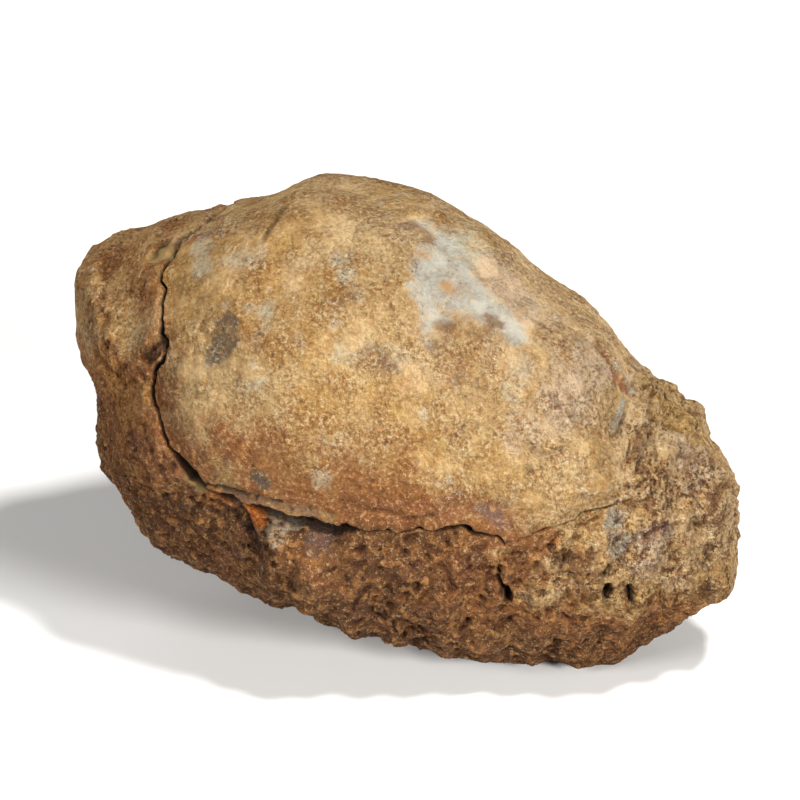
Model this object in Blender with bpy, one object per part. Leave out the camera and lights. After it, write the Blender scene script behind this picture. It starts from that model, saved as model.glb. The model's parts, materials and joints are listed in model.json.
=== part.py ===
"""Rolled-up fossil trilobite: one piece of stone, lying on the worn spot under its rolled thorax.

The animal curled up as a woodlouse does, so its front shield, a smooth dome, closes on its tail
shield. The dome's margin is the seam: an open crack at the front and along the sides, and a soft
furrow where the dome meets the thorax. The thorax rolls round the far end, and its ribs and raised
axis run on under the body.

X runs from the front margin (-X) to the rolled thorax (+X), Y runs across, Z is up.
The lengths below are in millimetres; the finished mesh is in metres.
"""

import math

import bmesh
import bpy
import numpy as np

MM = 0.001
NAME = "trilobite"

# Body: a closed form on seven stations, from the front end (-1) to the thorax end (+1).
HALF_LENGTH = 30.7
MIDDLE_X = 0.7
STATIONS = (-1.0, -0.7, -0.35, 0.0, 0.35, 0.7, 1.0)
HALF_WIDTH = (23.9, 21.7, 19.4, 17.9, 15.3, 14.5, 16.0)
DOME_RISE = (31.5, 27.9, 24.4, 22.3, 18.9, 16.0, 14.5)
BELLY_DEPTH = (25.4, 20.2, 17.6, 20.3, 21.5, 23.3, 24.7)
SEAM_LEVEL = (1.5, 2.4, 2.7, 1.4, 0.5, -0.7, -3.8)
DOME_FULLNESS = 2.15  # superellipse powers: 2 is round, more is fuller
BELLY_FULLNESS = 2.6

# Swellings (+) and dents (-): name, centre, reach in x, y and z, height.
SWELLINGS = (
    ("front rim", (-29.3, -5.0, 12.4), (3.6, 8.0, 3.8), 5.6),
    ("shoulder dent", (-16.4, 4.8, 22.8), (3.8, 8.0, 3.5), -3.0),
    ("neck dent", (20.8, 2.5, 8.5), (2.5, 7.0, 2.5), -1.7),
    ("first thorax ring", (28.1, 2.1, 5.2), (2.7, 7.0, 2.7), 0.7),
    ("tail corner", (30.3, -1.4, -10.0), (2.5, 5.0, 2.5), 1.4),
    ("tail corner dent", (28.4, -1.2, -14.1), (2.0, 5.0, 2.0), -1.4),
    ("lower flank", (20.4, -1.6, -18.7), (4.5, 5.0, 4.0), 1.7),
    ("near flank", (-6.0, -16.8, -9.2), (5.0, 4.0, 4.0), 1.2),
    ("belly", (-9.0, 1.5, -16.0), (8.5, 6.0, 5.0), 5.4),
)

# Seam: latitude of the dome's margin on the body. It runs level along the sides, turns a
# corner between two longitudes, counted from each end, and climbs straight over the end.
SEAM_CLIMB_FRONT = 47.0
SEAM_CLIMB_REAR = 50.0
FRONT_CORNER = (62.0, 18.0)
REAR_CORNER = (56.0, 14.0)
CRACK_WIDTH = 0.45
CRACK_DEPTH = 0.9
GAPE_WIDTH = 0.9  # the stretch of crack that stands open, on the near side
GAPE_DEPTH = 1.3
GAPE_AT = -104.0  # longitude in degrees
GAPE_SPREAD = 16.0
CRACK_END = (64.0, 46.0)  # between these longitudes it closes to a furrow
FURROW_WIDTH = 1.8
NECK_DEPTH = 0.7
LIP_RISE = 0.45  # the dome's edge stands over the crack
LIP_REACH = 2.6
UNDERCUT = 0.5  # and the tail shield's edge lies back under it

# Ribs and axis of the thorax and tail.
RIB_PITCH = 4.18
RIB_HEIGHT = 0.3
RIB_LEAN = 0.19  # the ribs lean towards the thorax end as they rise
RIB_START_X = -9.0
WORN_LEVEL = (-20.5, -15.0)  # ribs and axis fade out over these heights, towards the foot
AXIS_SHARE = 0.36  # of the half width
AXIS_RISE = 0.8
FURROW_DEPTH = 0.6
FURROW_SHARE = 0.09

# Weathering, and the spot that it rests on.
WAVE_COUNT = 14
WAVE_HEIGHT = 0.16
DOME_SMOOTHNESS = 0.55  # the dome keeps this share of the unevenness
FOOT_LEVEL = -19.6

SEGMENTS = 132
RINGS = 38
DOME_RINGS = 14  # the others lie below the seam, where the ribs are
RING_CROWDING = 0.22  # spacing of the rings at the seam, against even spacing
ROCK_COLOUR = (0.42, 0.27, 0.13, 1.0)
ROCK_ROUGHNESS = 0.86
SEED = 7


def clear_scene():
    for item in list(bpy.data.objects):
        bpy.data.objects.remove(item, do_unlink=True)
    for mesh in list(bpy.data.meshes):
        bpy.data.meshes.remove(mesh)


def profile(values, at):
    """A smooth curve through the stations' values."""
    stations = np.array(STATIONS)
    values = np.array(values)
    slopes = np.gradient(values, stations)
    i = np.clip(np.searchsorted(stations, at) - 1, 0, len(stations) - 2)
    step = stations[i + 1] - stations[i]
    t = (at - stations[i]) / step
    rise = (3 - 2 * t) * t * t
    start = values[i] * (1 - rise) + slopes[i] * step * t * (1 - t) ** 2
    return start + values[i + 1] * rise - slopes[i + 1] * step * t * t * (1 - t)


def signed_power(value, power):
    return np.sign(value) * np.abs(value) ** power


def smooth_step(low, high, value):
    t = np.clip((value - low) / (high - low), 0.0, 1.0)
    return t * t * (3.0 - 2.0 * t)


def bump(value, centre, width):
    return np.exp(-(((value - centre) / width) ** 2))


def body_point(longitude, latitude):
    """The plain body at a direction: a superellipse section at each station."""
    along = np.cos(latitude) * np.cos(longitude)
    across = np.cos(latitude) * np.sin(longitude)
    up = np.sin(latitude)
    radius = np.sqrt(across * across + up * up) + 1e-9
    upper = up >= 0.0
    power = 2.0 / np.where(upper, DOME_FULLNESS, BELLY_FULLNESS)
    rise = np.where(upper, profile(DOME_RISE, along), profile(BELLY_DEPTH, along))
    x = MIDDLE_X + HALF_LENGTH * along
    y = profile(HALF_WIDTH, along) * radius * signed_power(across / radius, power)
    z = profile(SEAM_LEVEL, along) + rise * radius * signed_power(up / radius, power)
    return swell(np.stack([x, y, z], axis=-1))


def swell(points):
    """Adds the swellings and dents, away from a core line inside the body."""
    core = points * np.array([0.6, 0.0, 0.1])
    outward = points - core
    outward /= np.linalg.norm(outward, axis=-1, keepdims=True) + 1e-9
    for _name, centre, reach, height in SWELLINGS:
        distance = np.linalg.norm((points - np.array(centre)) / np.array(reach), axis=-1)
        amount = height * np.exp(-0.5 * distance**2)
        points = points + outward * amount[..., None]
    return points


def seam_latitude(longitude):
    from_rear = np.degrees(np.arccos(np.clip(np.cos(longitude), -1.0, 1.0)))
    front = SEAM_CLIMB_FRONT * smooth_step(*FRONT_CORNER, 180.0 - from_rear)
    rear = SEAM_CLIMB_REAR * smooth_step(*REAR_CORNER, from_rear)
    return np.radians(front + rear)


def side_of_seam(latitude):
    """0 on the seam's ring, +1 at the top of the dome, -1 at the lowest point."""
    ring = (latitude / math.pi + 0.5) * RINGS - (RINGS - DOME_RINGS)
    side = ring / np.where(ring >= 0.0, DOME_RINGS, RINGS - DOME_RINGS)
    return np.where(np.abs(side) < 1e-6, 0.0, side)


def crowded_latitude(side, seam):
    """Crowds the rings towards the seam."""
    share = RING_CROWDING * np.abs(side) + (1.0 - RING_CROWDING) * side * side
    span = np.where(side >= 0.0, math.pi / 2 - seam, math.pi / 2 + seam)
    return seam + np.sign(side) * share * span


def crack_relief(across, longitude):
    """Depth of the crack, and the lip of the dome that stands over it."""
    turn = np.degrees(np.arctan2(np.sin(longitude), np.cos(longitude)))
    gape = bump(turn, GAPE_AT, GAPE_SPREAD)
    closed = smooth_step(*CRACK_END, np.abs(turn))
    width = CRACK_WIDTH + (GAPE_WIDTH - CRACK_WIDTH) * gape
    width += (FURROW_WIDTH - CRACK_WIDTH) * closed
    depth = CRACK_DEPTH + (GAPE_DEPTH - CRACK_DEPTH) * gape
    depth += (NECK_DEPTH - CRACK_DEPTH) * closed
    crack = -depth * bump(across, 0.0, width)
    lip = LIP_RISE * smooth_step(-0.2, 0.5, across) * smooth_step(LIP_REACH, 0.6, across)
    undercut = UNDERCUT * smooth_step(0.2, -0.8, across) * smooth_step(-4.0, -1.0, across)
    return crack + (lip - undercut) * (1.0 - closed) * (0.35 + 0.65 * gape)


def unworn(points):
    return smooth_step(*WORN_LEVEL, points[:, 2])


def rib_relief(points, across):
    """Ribs across the tail and thorax, from the seam down and round the far end."""
    along = points[:, 0] - RIB_LEAN * (points[:, 2] + 5.0)
    wave = np.cos(2.0 * math.pi * along / RIB_PITCH)
    below = smooth_step(-0.8, -3.5, across)
    start = smooth_step(RIB_START_X - 6.0, RIB_START_X + 4.0, points[:, 0])
    return RIB_HEIGHT * wave * below * (0.3 + 0.7 * start) * unworn(points)


def axis_relief(points, across):
    """The raised axis down the middle of the underside, between its two furrows."""
    half = profile(HALF_WIDTH, (points[:, 0] - MIDDLE_X) / HALF_LENGTH)
    share = np.abs(points[:, 1]) / half
    lobe = AXIS_RISE * smooth_step(AXIS_SHARE, AXIS_SHARE * 0.5, share)
    furrow = FURROW_DEPTH * bump(share, AXIS_SHARE, FURROW_SHARE)
    return (lobe - furrow) * smooth_step(-5.0, -12.0, across) * (0.3 + 0.7 * unworn(points))


def weathering(points, across):
    """Broad unevenness: a fixed set of low waves in all directions."""
    rng = np.random.default_rng(SEED)
    total = np.zeros(len(points))
    for _ in range(WAVE_COUNT):
        direction = rng.normal(size=3)
        direction /= np.linalg.norm(direction)
        length = rng.uniform(7.0, 20.0)
        phase = rng.uniform(0.0, 2.0 * math.pi)
        total += np.sin(points @ direction * 2.0 * math.pi / length + phase)
    calm = 1.0 + (DOME_SMOOTHNESS - 1.0) * smooth_step(0.0, 5.0, across)
    return WAVE_HEIGHT * total * calm


def vertex_array(mesh):
    flat = np.empty(len(mesh.vertices) * 3)
    mesh.vertices.foreach_get("co", flat)
    return flat.reshape(-1, 3)


def place_vertices(mesh, points):
    mesh.vertices.foreach_set("co", points.ravel())
    mesh.update()


def unit_normals(mesh):
    flat = np.empty(len(mesh.vertices) * 3, dtype=np.float32)
    mesh.vertex_normals.foreach_get("vector", flat)
    return flat.reshape(-1, 3).astype(float)


def sphere_mesh(name):
    grid = bmesh.new()
    bmesh.ops.create_uvsphere(grid, u_segments=SEGMENTS, v_segments=RINGS, radius=1.0)
    mesh = bpy.data.meshes.new(name)
    grid.to_mesh(mesh)
    grid.free()
    return mesh


def rest_on_foot(points):
    """Wears the lowest part flat, then puts the origin under the middle at that level."""
    points[:, 2] = np.maximum(points[:, 2], FOOT_LEVEL)
    middle = (points.min(axis=0) + points.max(axis=0)) / 2.0
    return points - np.array([middle[0], middle[1], FOOT_LEVEL])


def shape_trilobite(mesh):
    directions = vertex_array(mesh)
    longitude = np.arctan2(directions[:, 1], directions[:, 0])
    latitude = np.arcsin(np.clip(directions[:, 2], -1.0, 1.0))
    seam = seam_latitude(longitude)
    margin = body_point(longitude, seam)
    side = side_of_seam(latitude)
    points = body_point(longitude, crowded_latitude(side, seam))
    across = np.sign(side) * np.linalg.norm(points - margin, axis=-1)

    place_vertices(mesh, points)
    relief = crack_relief(across, longitude)
    relief += rib_relief(points, across)
    relief += axis_relief(points, across)
    relief += weathering(points, across)
    points = points + unit_normals(mesh) * relief[:, None]
    place_vertices(mesh, rest_on_foot(points) * MM)


def rock_material():
    material = bpy.data.materials.new("weathered_stone")
    material.use_nodes = True
    shader = material.node_tree.nodes["Principled BSDF"]
    shader.inputs["Base Color"].default_value = ROCK_COLOUR
    shader.inputs["Roughness"].default_value = ROCK_ROUGHNESS
    shader.inputs["Metallic"].default_value = 0.0
    return material


def make_trilobite():
    mesh = sphere_mesh(NAME)
    shape_trilobite(mesh)
    mesh.materials.append(rock_material())
    mesh.polygons.foreach_set("use_smooth", [True] * len(mesh.polygons))
    item = bpy.data.objects.new(NAME, mesh)
    collection = bpy.data.collections.new("fossil_trilobite")
    bpy.context.scene.collection.children.link(collection)
    collection.objects.link(item)
    return item


def main():
    clear_scene()
    item = make_trilobite()
    size = np.array(item.dimensions) / MM
    print(f"{item.name}: {len(item.data.vertices)} points, size in mm {np.round(size, 1)}")


main()
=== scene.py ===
# %% [markdown]
# # A rolled-up fossil trilobite
# A trilobite that felt threatened curled up as a woodlouse does: its front shield closed on its
# tail shield, and the mud that buried it set to stone. What is left is one lump of brown rock
# the size of a plum. A smooth dome is the front shield, an open crack is the seam between the
# two shields, and worn ribs run round the thorax at the far end.
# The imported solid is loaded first. It fixes the size and the place, and the lump that is
# sculpted here has to stay inside its box.

import json
import math

import bpy
import numpy as np
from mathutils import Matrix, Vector, kdtree, noise

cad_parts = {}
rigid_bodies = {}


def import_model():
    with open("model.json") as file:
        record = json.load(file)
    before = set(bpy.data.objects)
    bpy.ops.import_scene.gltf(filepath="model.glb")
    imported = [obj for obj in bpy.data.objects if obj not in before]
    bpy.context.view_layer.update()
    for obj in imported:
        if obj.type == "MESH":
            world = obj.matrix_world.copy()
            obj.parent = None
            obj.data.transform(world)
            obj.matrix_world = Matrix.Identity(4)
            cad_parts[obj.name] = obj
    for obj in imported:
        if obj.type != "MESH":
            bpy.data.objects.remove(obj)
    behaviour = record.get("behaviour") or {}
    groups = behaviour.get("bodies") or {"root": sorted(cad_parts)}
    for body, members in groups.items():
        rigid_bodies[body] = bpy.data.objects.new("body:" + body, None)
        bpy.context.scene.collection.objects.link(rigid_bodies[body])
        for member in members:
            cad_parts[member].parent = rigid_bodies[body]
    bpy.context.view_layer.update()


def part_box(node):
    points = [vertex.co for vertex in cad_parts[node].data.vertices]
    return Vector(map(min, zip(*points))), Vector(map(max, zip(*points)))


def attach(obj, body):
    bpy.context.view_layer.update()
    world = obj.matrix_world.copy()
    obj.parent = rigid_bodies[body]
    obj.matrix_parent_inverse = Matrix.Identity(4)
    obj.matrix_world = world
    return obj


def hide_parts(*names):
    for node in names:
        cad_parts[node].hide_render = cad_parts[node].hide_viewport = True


for item in list(bpy.data.objects):  # the startup scene's cube, lamp and camera
    bpy.data.objects.remove(item)
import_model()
MM = 0.001
NODE = "trilobite"
LOW, HIGH = (np.array(corner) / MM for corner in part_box(NODE))
STONE_FINISH = bpy.data.materials.new("weathered_stone")  # its nodes come further down


def new_object(name, data):
    item = bpy.data.objects.new(name, data)
    bpy.context.scene.collection.objects.link(item)
    return item


print(f"the solid measures {np.round(HIGH - LOW, 1)} mm")

# %% [markdown]
# ## The form of the lump
# The lump is a closed form on seven stations along its length. Each station says how wide it is,
# how high the dome rises above the seam, and how deep the rolled thorax hangs below it. Between
# the stations a smooth curve does the work. Sculpting by hand would look as good, but the
# numbers can be checked against the real thing, one station at a time.
# All shapes below are in millimetres, with the seam near z = 0.

# %% Stations and the curve through them
HALF_LENGTH = 30.7
MIDDLE_X = 0.7
STATIONS = (-1.0, -0.7, -0.35, 0.0, 0.35, 0.7, 1.0)
HALF_WIDTH = (23.9, 21.7, 19.4, 17.9, 15.3, 14.5, 16.0)
DOME_RISE = (31.5, 27.9, 24.4, 22.3, 18.9, 16.0, 14.5)
BELLY_DEPTH = (25.4, 20.2, 17.6, 20.3, 21.5, 23.3, 24.7)
SEAM_LEVEL = (1.5, 2.4, 2.7, 1.4, 0.5, -0.7, -3.8)
DOME_FULLNESS = 2.15
BELLY_FULLNESS = 2.6
SWELLINGS = (
    ("front rim", (-29.3, -5.0, 12.4), (3.6, 8.0, 3.8), 5.6),
    ("shoulder dent", (-16.4, 4.8, 22.8), (3.8, 8.0, 3.5), -3.0),
    ("neck dent", (20.8, 2.5, 8.5), (2.5, 7.0, 2.5), -1.7),
    ("first thorax ring", (28.1, 2.1, 5.2), (2.7, 7.0, 2.7), 0.7),
    ("tail corner", (30.3, -1.4, -10.0), (2.5, 5.0, 2.5), 1.4),
    ("tail corner dent", (28.4, -1.2, -14.1), (2.0, 5.0, 2.0), -1.4),
    ("lower flank", (20.4, -1.6, -18.7), (4.5, 5.0, 4.0), 1.7),
    ("near flank", (-6.0, -16.8, -9.2), (5.0, 4.0, 4.0), 1.2),
    ("belly", (-9.0, 1.5, -16.0), (8.5, 6.0, 5.0), 5.4),
)
print(f"stations: {len(STATIONS)}, swellings and dents: {len(SWELLINGS)}")

# %% Curves that every form below is made with


def smooth_step(low, high, value):
    t = np.clip((value - low) / (high - low), 0.0, 1.0)
    return t * t * (3.0 - 2.0 * t)


def bump(value, centre, width):
    return np.exp(-(((value - centre) / width) ** 2))


def signed_power(value, power):
    return np.sign(value) * np.abs(value) ** power


def profile(values, at):
    """A smooth curve through the stations' values."""
    stations, values = np.array(STATIONS), np.array(values)
    slopes = np.gradient(values, stations)
    i = np.clip(np.searchsorted(stations, at) - 1, 0, len(stations) - 2)
    step = stations[i + 1] - stations[i]
    t = (at - stations[i]) / step
    rise = (3 - 2 * t) * t * t
    start = values[i] * (1 - rise) + slopes[i] * step * t * (1 - t) ** 2
    return start + values[i + 1] * rise - slopes[i + 1] * step * t * t * (1 - t)


print(f"half the width at the middle: {profile(HALF_WIDTH, 0.0):.1f} mm")

# %% The surface of the lump
CORE = (0.6, 0.0, 0.1)  # shares of a place: swellings push outward from this inner line


def swell(points):
    """Adds the swellings and dents, away from a core line inside the lump."""
    core = points * np.array(CORE)
    outward = points - core
    outward /= np.linalg.norm(outward, axis=-1, keepdims=True) + 1e-9
    for _name, centre, reach, height in SWELLINGS:
        distance = np.linalg.norm((points - np.array(centre)) / np.array(reach), axis=-1)
        points = points + outward * (height * np.exp(-0.5 * distance**2))[..., None]
    return points


def direction(longitude, latitude):
    """Unit vector from angles in degrees: longitude -90 is the near side, 0 the thorax end."""
    turn, tilt = np.radians(longitude), np.radians(latitude)
    flat = np.cos(tilt)
    return np.stack([flat * np.cos(turn), flat * np.sin(turn), np.sin(tilt)], axis=-1)


def lump(directions):
    """The smooth lump's surface in the given directions: an oval at each station."""
    along, across, up = np.moveaxis(directions, -1, 0)
    radius = np.sqrt(across * across + up * up) + 1e-9
    upper = up >= 0.0
    power = 2.0 / np.where(upper, DOME_FULLNESS, BELLY_FULLNESS)
    rise = np.where(upper, profile(DOME_RISE, along), profile(BELLY_DEPTH, along))
    x = MIDDLE_X + HALF_LENGTH * along
    y = profile(HALF_WIDTH, along) * radius * signed_power(across / radius, power)
    z = profile(SEAM_LEVEL, along) + rise * radius * signed_power(up / radius, power)
    return swell(np.stack([x, y, z], axis=-1))


def lump_point(longitude, latitude):
    return lump(direction(longitude, latitude))


def unit(vectors):
    return vectors / (np.linalg.norm(vectors, axis=-1, keepdims=True) + 1e-12)


def lump_normals(directions):
    """Which way the smooth surface faces, from two small steps along it."""
    helper = np.where(np.abs(directions[:, :1]) < 0.7, [[1.0, 0.0, 0.0]], [[0.0, 1.0, 0.0]])
    first = unit(np.cross(directions, helper))
    second = np.cross(directions, first)
    step = 0.01
    slopes = [lump(unit(directions + step * way)) - lump(unit(directions - step * way))
              for way in (first, second)]
    return unit(np.cross(*slopes))


print(f"the crown of the dome is {lump_point(0.0, 90.0)[2]:.1f} mm above the seam")

# %% [markdown]
# ## The seam
# The edge of the front shield is a crack that wanders round the whole lump. At the front it is
# narrow, with a splinter let into it. On the near side it gapes under the shield's edge, and
# past the middle it closes to a hair. At the neck it is only a soft groove.
# A crack drawn on afterwards, as a bump, would be blurred by the size of the mesh's faces. So the
# mesh is laid along the crack instead: one ring of its edges is the seam itself. Here the seam
# is a path of stops, each with its direction from the middle of the lump, the crack's half
# width and depth there, and how far the shield's edge hangs over it. Stone seldom breaks along
# a smooth curve, so the path between the stops is given small jogs.

# %% The seam on the near side
NEAR_SEAM = (  # longitude, latitude, half width, depth, overhang
    (-180, 50, 0.15, 0.6, 0), (-172, 48.5, 0.15, 0.6, 0), (-166, 44.7, 0.18, 0.7, 0),
    (-162, 41.3, 0.22, 0.9, 0), (-158, 38.7, 0.25, 1, 0), (-155, 36, 0.18, 0.9, 0),
    (-149, 33.2, 0.18, 1, 0), (-146, 31.5, 0.13, 0.8, 0), (-142, 28.7, 0.16, 1, 0),
    (-140, 25.8, 0.27, 1.3, 0.05), (-137.2, 24.4, 0.2, 1.4, 0.1), (-136.3, 22, 0.32, 1.5, 0.1),
    (-137.8, 19.2, 0.25, 1.3, 0.05), (-138, 16.9, 0.2, 1.1, 0), (-137.8, 14.4, 0.18, 1, 0),
    (-136, 12.1, 0.18, 1.1, 0), (-134, 10.5, 0.18, 1.1, 0), (-132, 8.8, 0.18, 1.1, 0),
    (-130, 6.5, 0.25, 1.3, 0.05), (-128, 4.5, 0.32, 1.5, 0.1), (-126, 2.5, 0.56, 1.7, 0.1),
    (-124, 0.4, 0.7, 1.7, 0.1), (-121, -1.2, 0.53, 1.5, 0.1), (-118, -2.1, 0.37, 1.1, 0.15),
    (-113, -2.2, 0.42, 1.4, 0.25), (-110, -2.4, 0.72, 2, 0.45), (-106, -2.6, 0.98, 2.4, 0.55),
    (-102, -2.9, 1.02, 2.5, 0.55), (-98, -2.8, 1, 2.5, 0.5), (-95, -2.4, 0.9, 2.3, 0.4),
    (-93, -1.9, 0.55, 1.8, 0.25), (-91, -1.4, 0.2, 1, 0.1), (-88, -1.2, 0.12, 0.9, 0),
    (-84, -1, 0.12, 0.9, 0), (-80, -0.4, 0.15, 1, 0.05), (-78, -0.2, 0.22, 1.2, 0.1),
    (-76, -0.1, 0.38, 1.5, 0.15), (-73, 0, 0.48, 1.8, 0.2), (-71, -0.9, 0.36, 1.4, 0.15),
    (-69, -0.6, 0.14, 0.9, 0), (-67.5, -0.8, 0.13, 0.8, 0), (-66, -2.2, 0.1, 0.5, 0),
    (-63, -0.9, 0.03, 0.1, 0), (-59.5, 0.1, 0.1, 0.6, 0), (-56, 1.2, 0.11, 0.7, 0),
    (-53.5, 2.2, 0.04, 0.2, 0), (-51.5, 4.3, 0.1, 0.5, 0), (-48, 5.5, 0.13, 0.7, 0),
    (-45, 7.8, 0.12, 0.6, 0), (-42, 9.5, 0.03, 0.2, 0), (-39.5, 14.9, 0.03, 0.1, 0),
    (-39.3, 21.6, 0.03, 0.1, 0), (-37, 28.9, 0.03, 0.1, 0), (-31.5, 35, 0.03, 0.1, 0),
    (-24, 40.3, 0.03, 0.1, 0), (-16, 43.5, 0.03, 0.1, 0), (-8, 44.6, 0.03, 0.1, 0),
)
print(f"{len(NEAR_SEAM)} stops along the near side")

# %% The whole loop of the seam
FAR_STEP = 4.0
SEAM_CLIMB_FRONT, SEAM_CLIMB_REAR = 50.0, 45.0
SEAM_SAMPLES = 4096
JOG_SIZE, JOG_FINENESS = 0.85, 14.0  # size in degrees
FAR_GAPE_AT, FAR_GAPE_WIDTH = 112.0, 18.0


def far_seam(longitude):
    """The hidden side: the same course without the near side's jogs."""
    front = SEAM_CLIMB_FRONT * smooth_step(62.0, 14.0, 180.0 - longitude)
    rear = SEAM_CLIMB_REAR * smooth_step(56.0, 12.0, longitude)
    open_share = smooth_step(40.0, 70.0, longitude)
    gape = bump(longitude, FAR_GAPE_AT, FAR_GAPE_WIDTH)
    width = 0.03 + open_share * (0.11 + 0.30 * gape)
    depth = 0.1 + open_share * (0.7 + 0.9 * gape)
    return (longitude, front + rear - 1.2 * gape, width, depth, 0.3 * gape * open_share)


def cumulative_length(points):
    steps = np.linalg.norm(np.diff(points, axis=0), axis=1)
    return np.concatenate([[0.0], np.cumsum(steps)])


def half_seam(stops, start):
    """Half of the seam, sampled evenly along its length, as columns of stop values."""
    stops = np.array(stops)
    length = cumulative_length(lump_point(stops[:, 0], stops[:, 1]))
    even = np.linspace(0.0, length[-1], SEAM_SAMPLES // 2 + 1)
    columns = [np.interp(even, length, column) for column in stops.T]
    turns = start + 180.0 * even / length[-1]
    return np.column_stack([turns, *columns])


far_stops = [far_seam(x) for x in np.arange(0.0, 180.1, FAR_STEP)]
near_half = half_seam([*NEAR_SEAM, far_stops[0]], -180.0)
far_half = half_seam(far_stops, 0.0)
SEAM = np.vstack([near_half, far_half[1:]])


def seam_noise(fineness, shift, falloff, octaves):
    """Unevenness along the seam, about -1 to 1, the same at both ends of the loop."""
    loop = direction(SEAM[:, 0], np.zeros(len(SEAM))) * fineness + shift
    return np.array([noise.fractal(place, falloff, 2.0, octaves) for place in loop.tolist()])


for column, shift in ((1, 21.0), (2, 4.0)):  # the longitude and the latitude wander on their own
    SEAM[:, column] += JOG_SIZE * seam_noise(JOG_FINENESS, shift, 0.8, 3)
print(f"the seam is sampled at {len(SEAM)} places")

# %% [markdown]
# ## The mesh that is laid along the seam
# A sphere from Blender's menu pinches its faces together at two poles, and a fossil has no
# poles. A box whose sides are cut into a fine grid has even faces all over once it is blown up
# into a ball. Geometry Nodes has such a box, the Mesh Cube node, so a small tree makes it, with
# the numbers of cuts as named inputs. Its rows of vertices then become the rings of the lump.

# %% Helpers that build a tree of nodes and use it


def fill(tree, socket, value):
    """Gives a socket a number, or links another node's output to it."""
    if isinstance(value, bpy.types.Node):
        value = value.outputs[0]
    if isinstance(value, bpy.types.NodeSocket):
        tree.links.new(value, socket)
    else:
        socket.default_value = value


def add_node(tree, kind, inputs=None, **settings):
    node = tree.nodes.new(kind)
    for key, value in settings.items():
        setattr(node, key, value)
    for key, value in (inputs or {}).items():
        fill(tree, node.inputs[key], value)
    return node


def new_tree(name, inputs):
    """An empty tree, and the outputs that carry its named inputs."""
    tree = bpy.data.node_groups.new(name, "GeometryNodeTree")
    for label, kind in inputs.items():
        tree.interface.new_socket(label, in_out="INPUT", socket_type="NodeSocket" + kind)
    return tree, tree.nodes.new("NodeGroupInput").outputs


def finish_tree(tree, geometry):
    """Ends a tree as every tree here ends: real geometry in the stone's finish."""
    tree.interface.new_socket("Geometry", in_out="OUTPUT", socket_type="NodeSocketGeometry")
    real = add_node(tree, "GeometryNodeRealizeInstances", {"Geometry": geometry})
    finish = add_node(tree, "GeometryNodeSetMaterial",
                      {"Geometry": real, "Material": STONE_FINISH})
    add_node(tree, "NodeGroupOutput", {"Geometry": finish})


def made_by(tree, ground, values):
    """The plain mesh that a tree makes from a ground mesh, once its inputs are set."""
    item = new_object(tree.name, ground)
    modifier = item.modifiers.new(tree.name, "NODES")
    modifier.node_group = tree
    for socket in tree.interface.items_tree:
        if socket.name in values:
            modifier[socket.identifier] = values[socket.name]
    bpy.context.view_layer.update()
    graph = bpy.context.evaluated_depsgraph_get()
    mesh = bpy.data.meshes.new_from_object(item.evaluated_get(graph))
    bpy.data.objects.remove(item)
    return mesh


print("helpers made: fill, add_node, new_tree, finish_tree and made_by")

# %% A box of fine cells, made by Geometry Nodes
ROWS_BELOW, ROWS_ABOVE = 74, 56
CELLS_LONG, CELLS_WIDE = 160, 96


def box_tree():
    targets = {"Cells Long": "Vertices X", "Cells Wide": "Vertices Y", "Rows": "Vertices Z"}
    tree, given = new_tree("fine_box", {name: "Int" for name in targets})
    counts = {targets[name]: add_node(tree, "ShaderNodeMath", {0: given[name], 1: 1.0})
              for name in targets}  # a row of cells has one more vertex than it has cells
    cube = add_node(tree, "GeometryNodeMeshCube", {"Size": (2.0, 2.0, 2.0), **counts})
    finish_tree(tree, cube)
    return tree


def vertex_array(mesh):
    flat = np.empty(len(mesh.vertices) * 3, dtype=np.float32)
    mesh.vertices.foreach_get("co", flat)
    return flat.reshape(-1, 3).astype(float)


def place_vertices(mesh, points):
    mesh.vertices.foreach_set("co", points.astype(np.float32).ravel())
    mesh.update()


stone_mesh = made_by(box_tree(), bpy.data.meshes.new("seed"), {
    "Cells Long": CELLS_LONG, "Cells Wide": CELLS_WIDE, "Rows": ROWS_BELOW + ROWS_ABOVE})
stone_mesh.name = "stone"
BOX = vertex_array(stone_mesh)
print(f"box: {len(BOX)} vertices, {len(stone_mesh.polygons)} faces")

# %% [markdown]
# ## From box to ball to lump
# Each vertex gets a column, its turn round the ball, and a row, counted from the seam. The rows
# near the seam are set a fixed distance from it in millimetres, so that they can become the
# walls of the crack. Further out they ease into the even spacing of the ball. The columns
# cross the seam at right angles and then straighten. At last the free vertices are relaxed,
# which evens out what the wandering seam has stretched or crowded.

# %% Columns and rows
BAND_ROWS = 14
BAND_STEP = 0.005
BAND_MARGIN = 0.55  # mm beyond the crack's walls that the band rows cover
ROW_EASE = 0.72
CROSSING = 3.0  # mm over which the columns cross the seam at right angles
PATH_SMOOTHING = 40  # samples of the seam


def row_numbers():
    level = np.round((BOX[:, 2] + 1.0) / 2.0 * (ROWS_BELOW + ROWS_ABOVE))
    return level - ROWS_BELOW


def row_height(row):
    """The height on the box, -1 to 1, that a row is moved to."""
    share = BAND_ROWS * BAND_STEP
    beyond = np.maximum(np.abs(row) - BAND_ROWS, 0.0)
    count = np.where(row > 0.0, ROWS_ABOVE, ROWS_BELOW) - BAND_ROWS
    height = share + (1.0 - share) * beyond / count
    return np.sign(row) * np.where(np.abs(row) <= BAND_ROWS, np.abs(row) * BAND_STEP, height)


def ball_angles(row):
    """Each vertex's turn on the ball in degrees, and its side, -1 to 1 from pole to pole."""
    eighth = math.pi / 4
    x, y = np.tan(eighth * BOX[:, 0]), np.tan(eighth * BOX[:, 1])
    height = row_height(row)
    turn = np.degrees(np.arctan2(y, x))
    even = 45.0 * height
    ball = np.degrees(np.arctan2(np.tan(eighth * height), np.hypot(x, y)))
    share = smooth_step(0.2, 0.6, np.abs(height))
    return turn, (even * (1.0 - share) + ball * share) / 90.0


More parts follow.
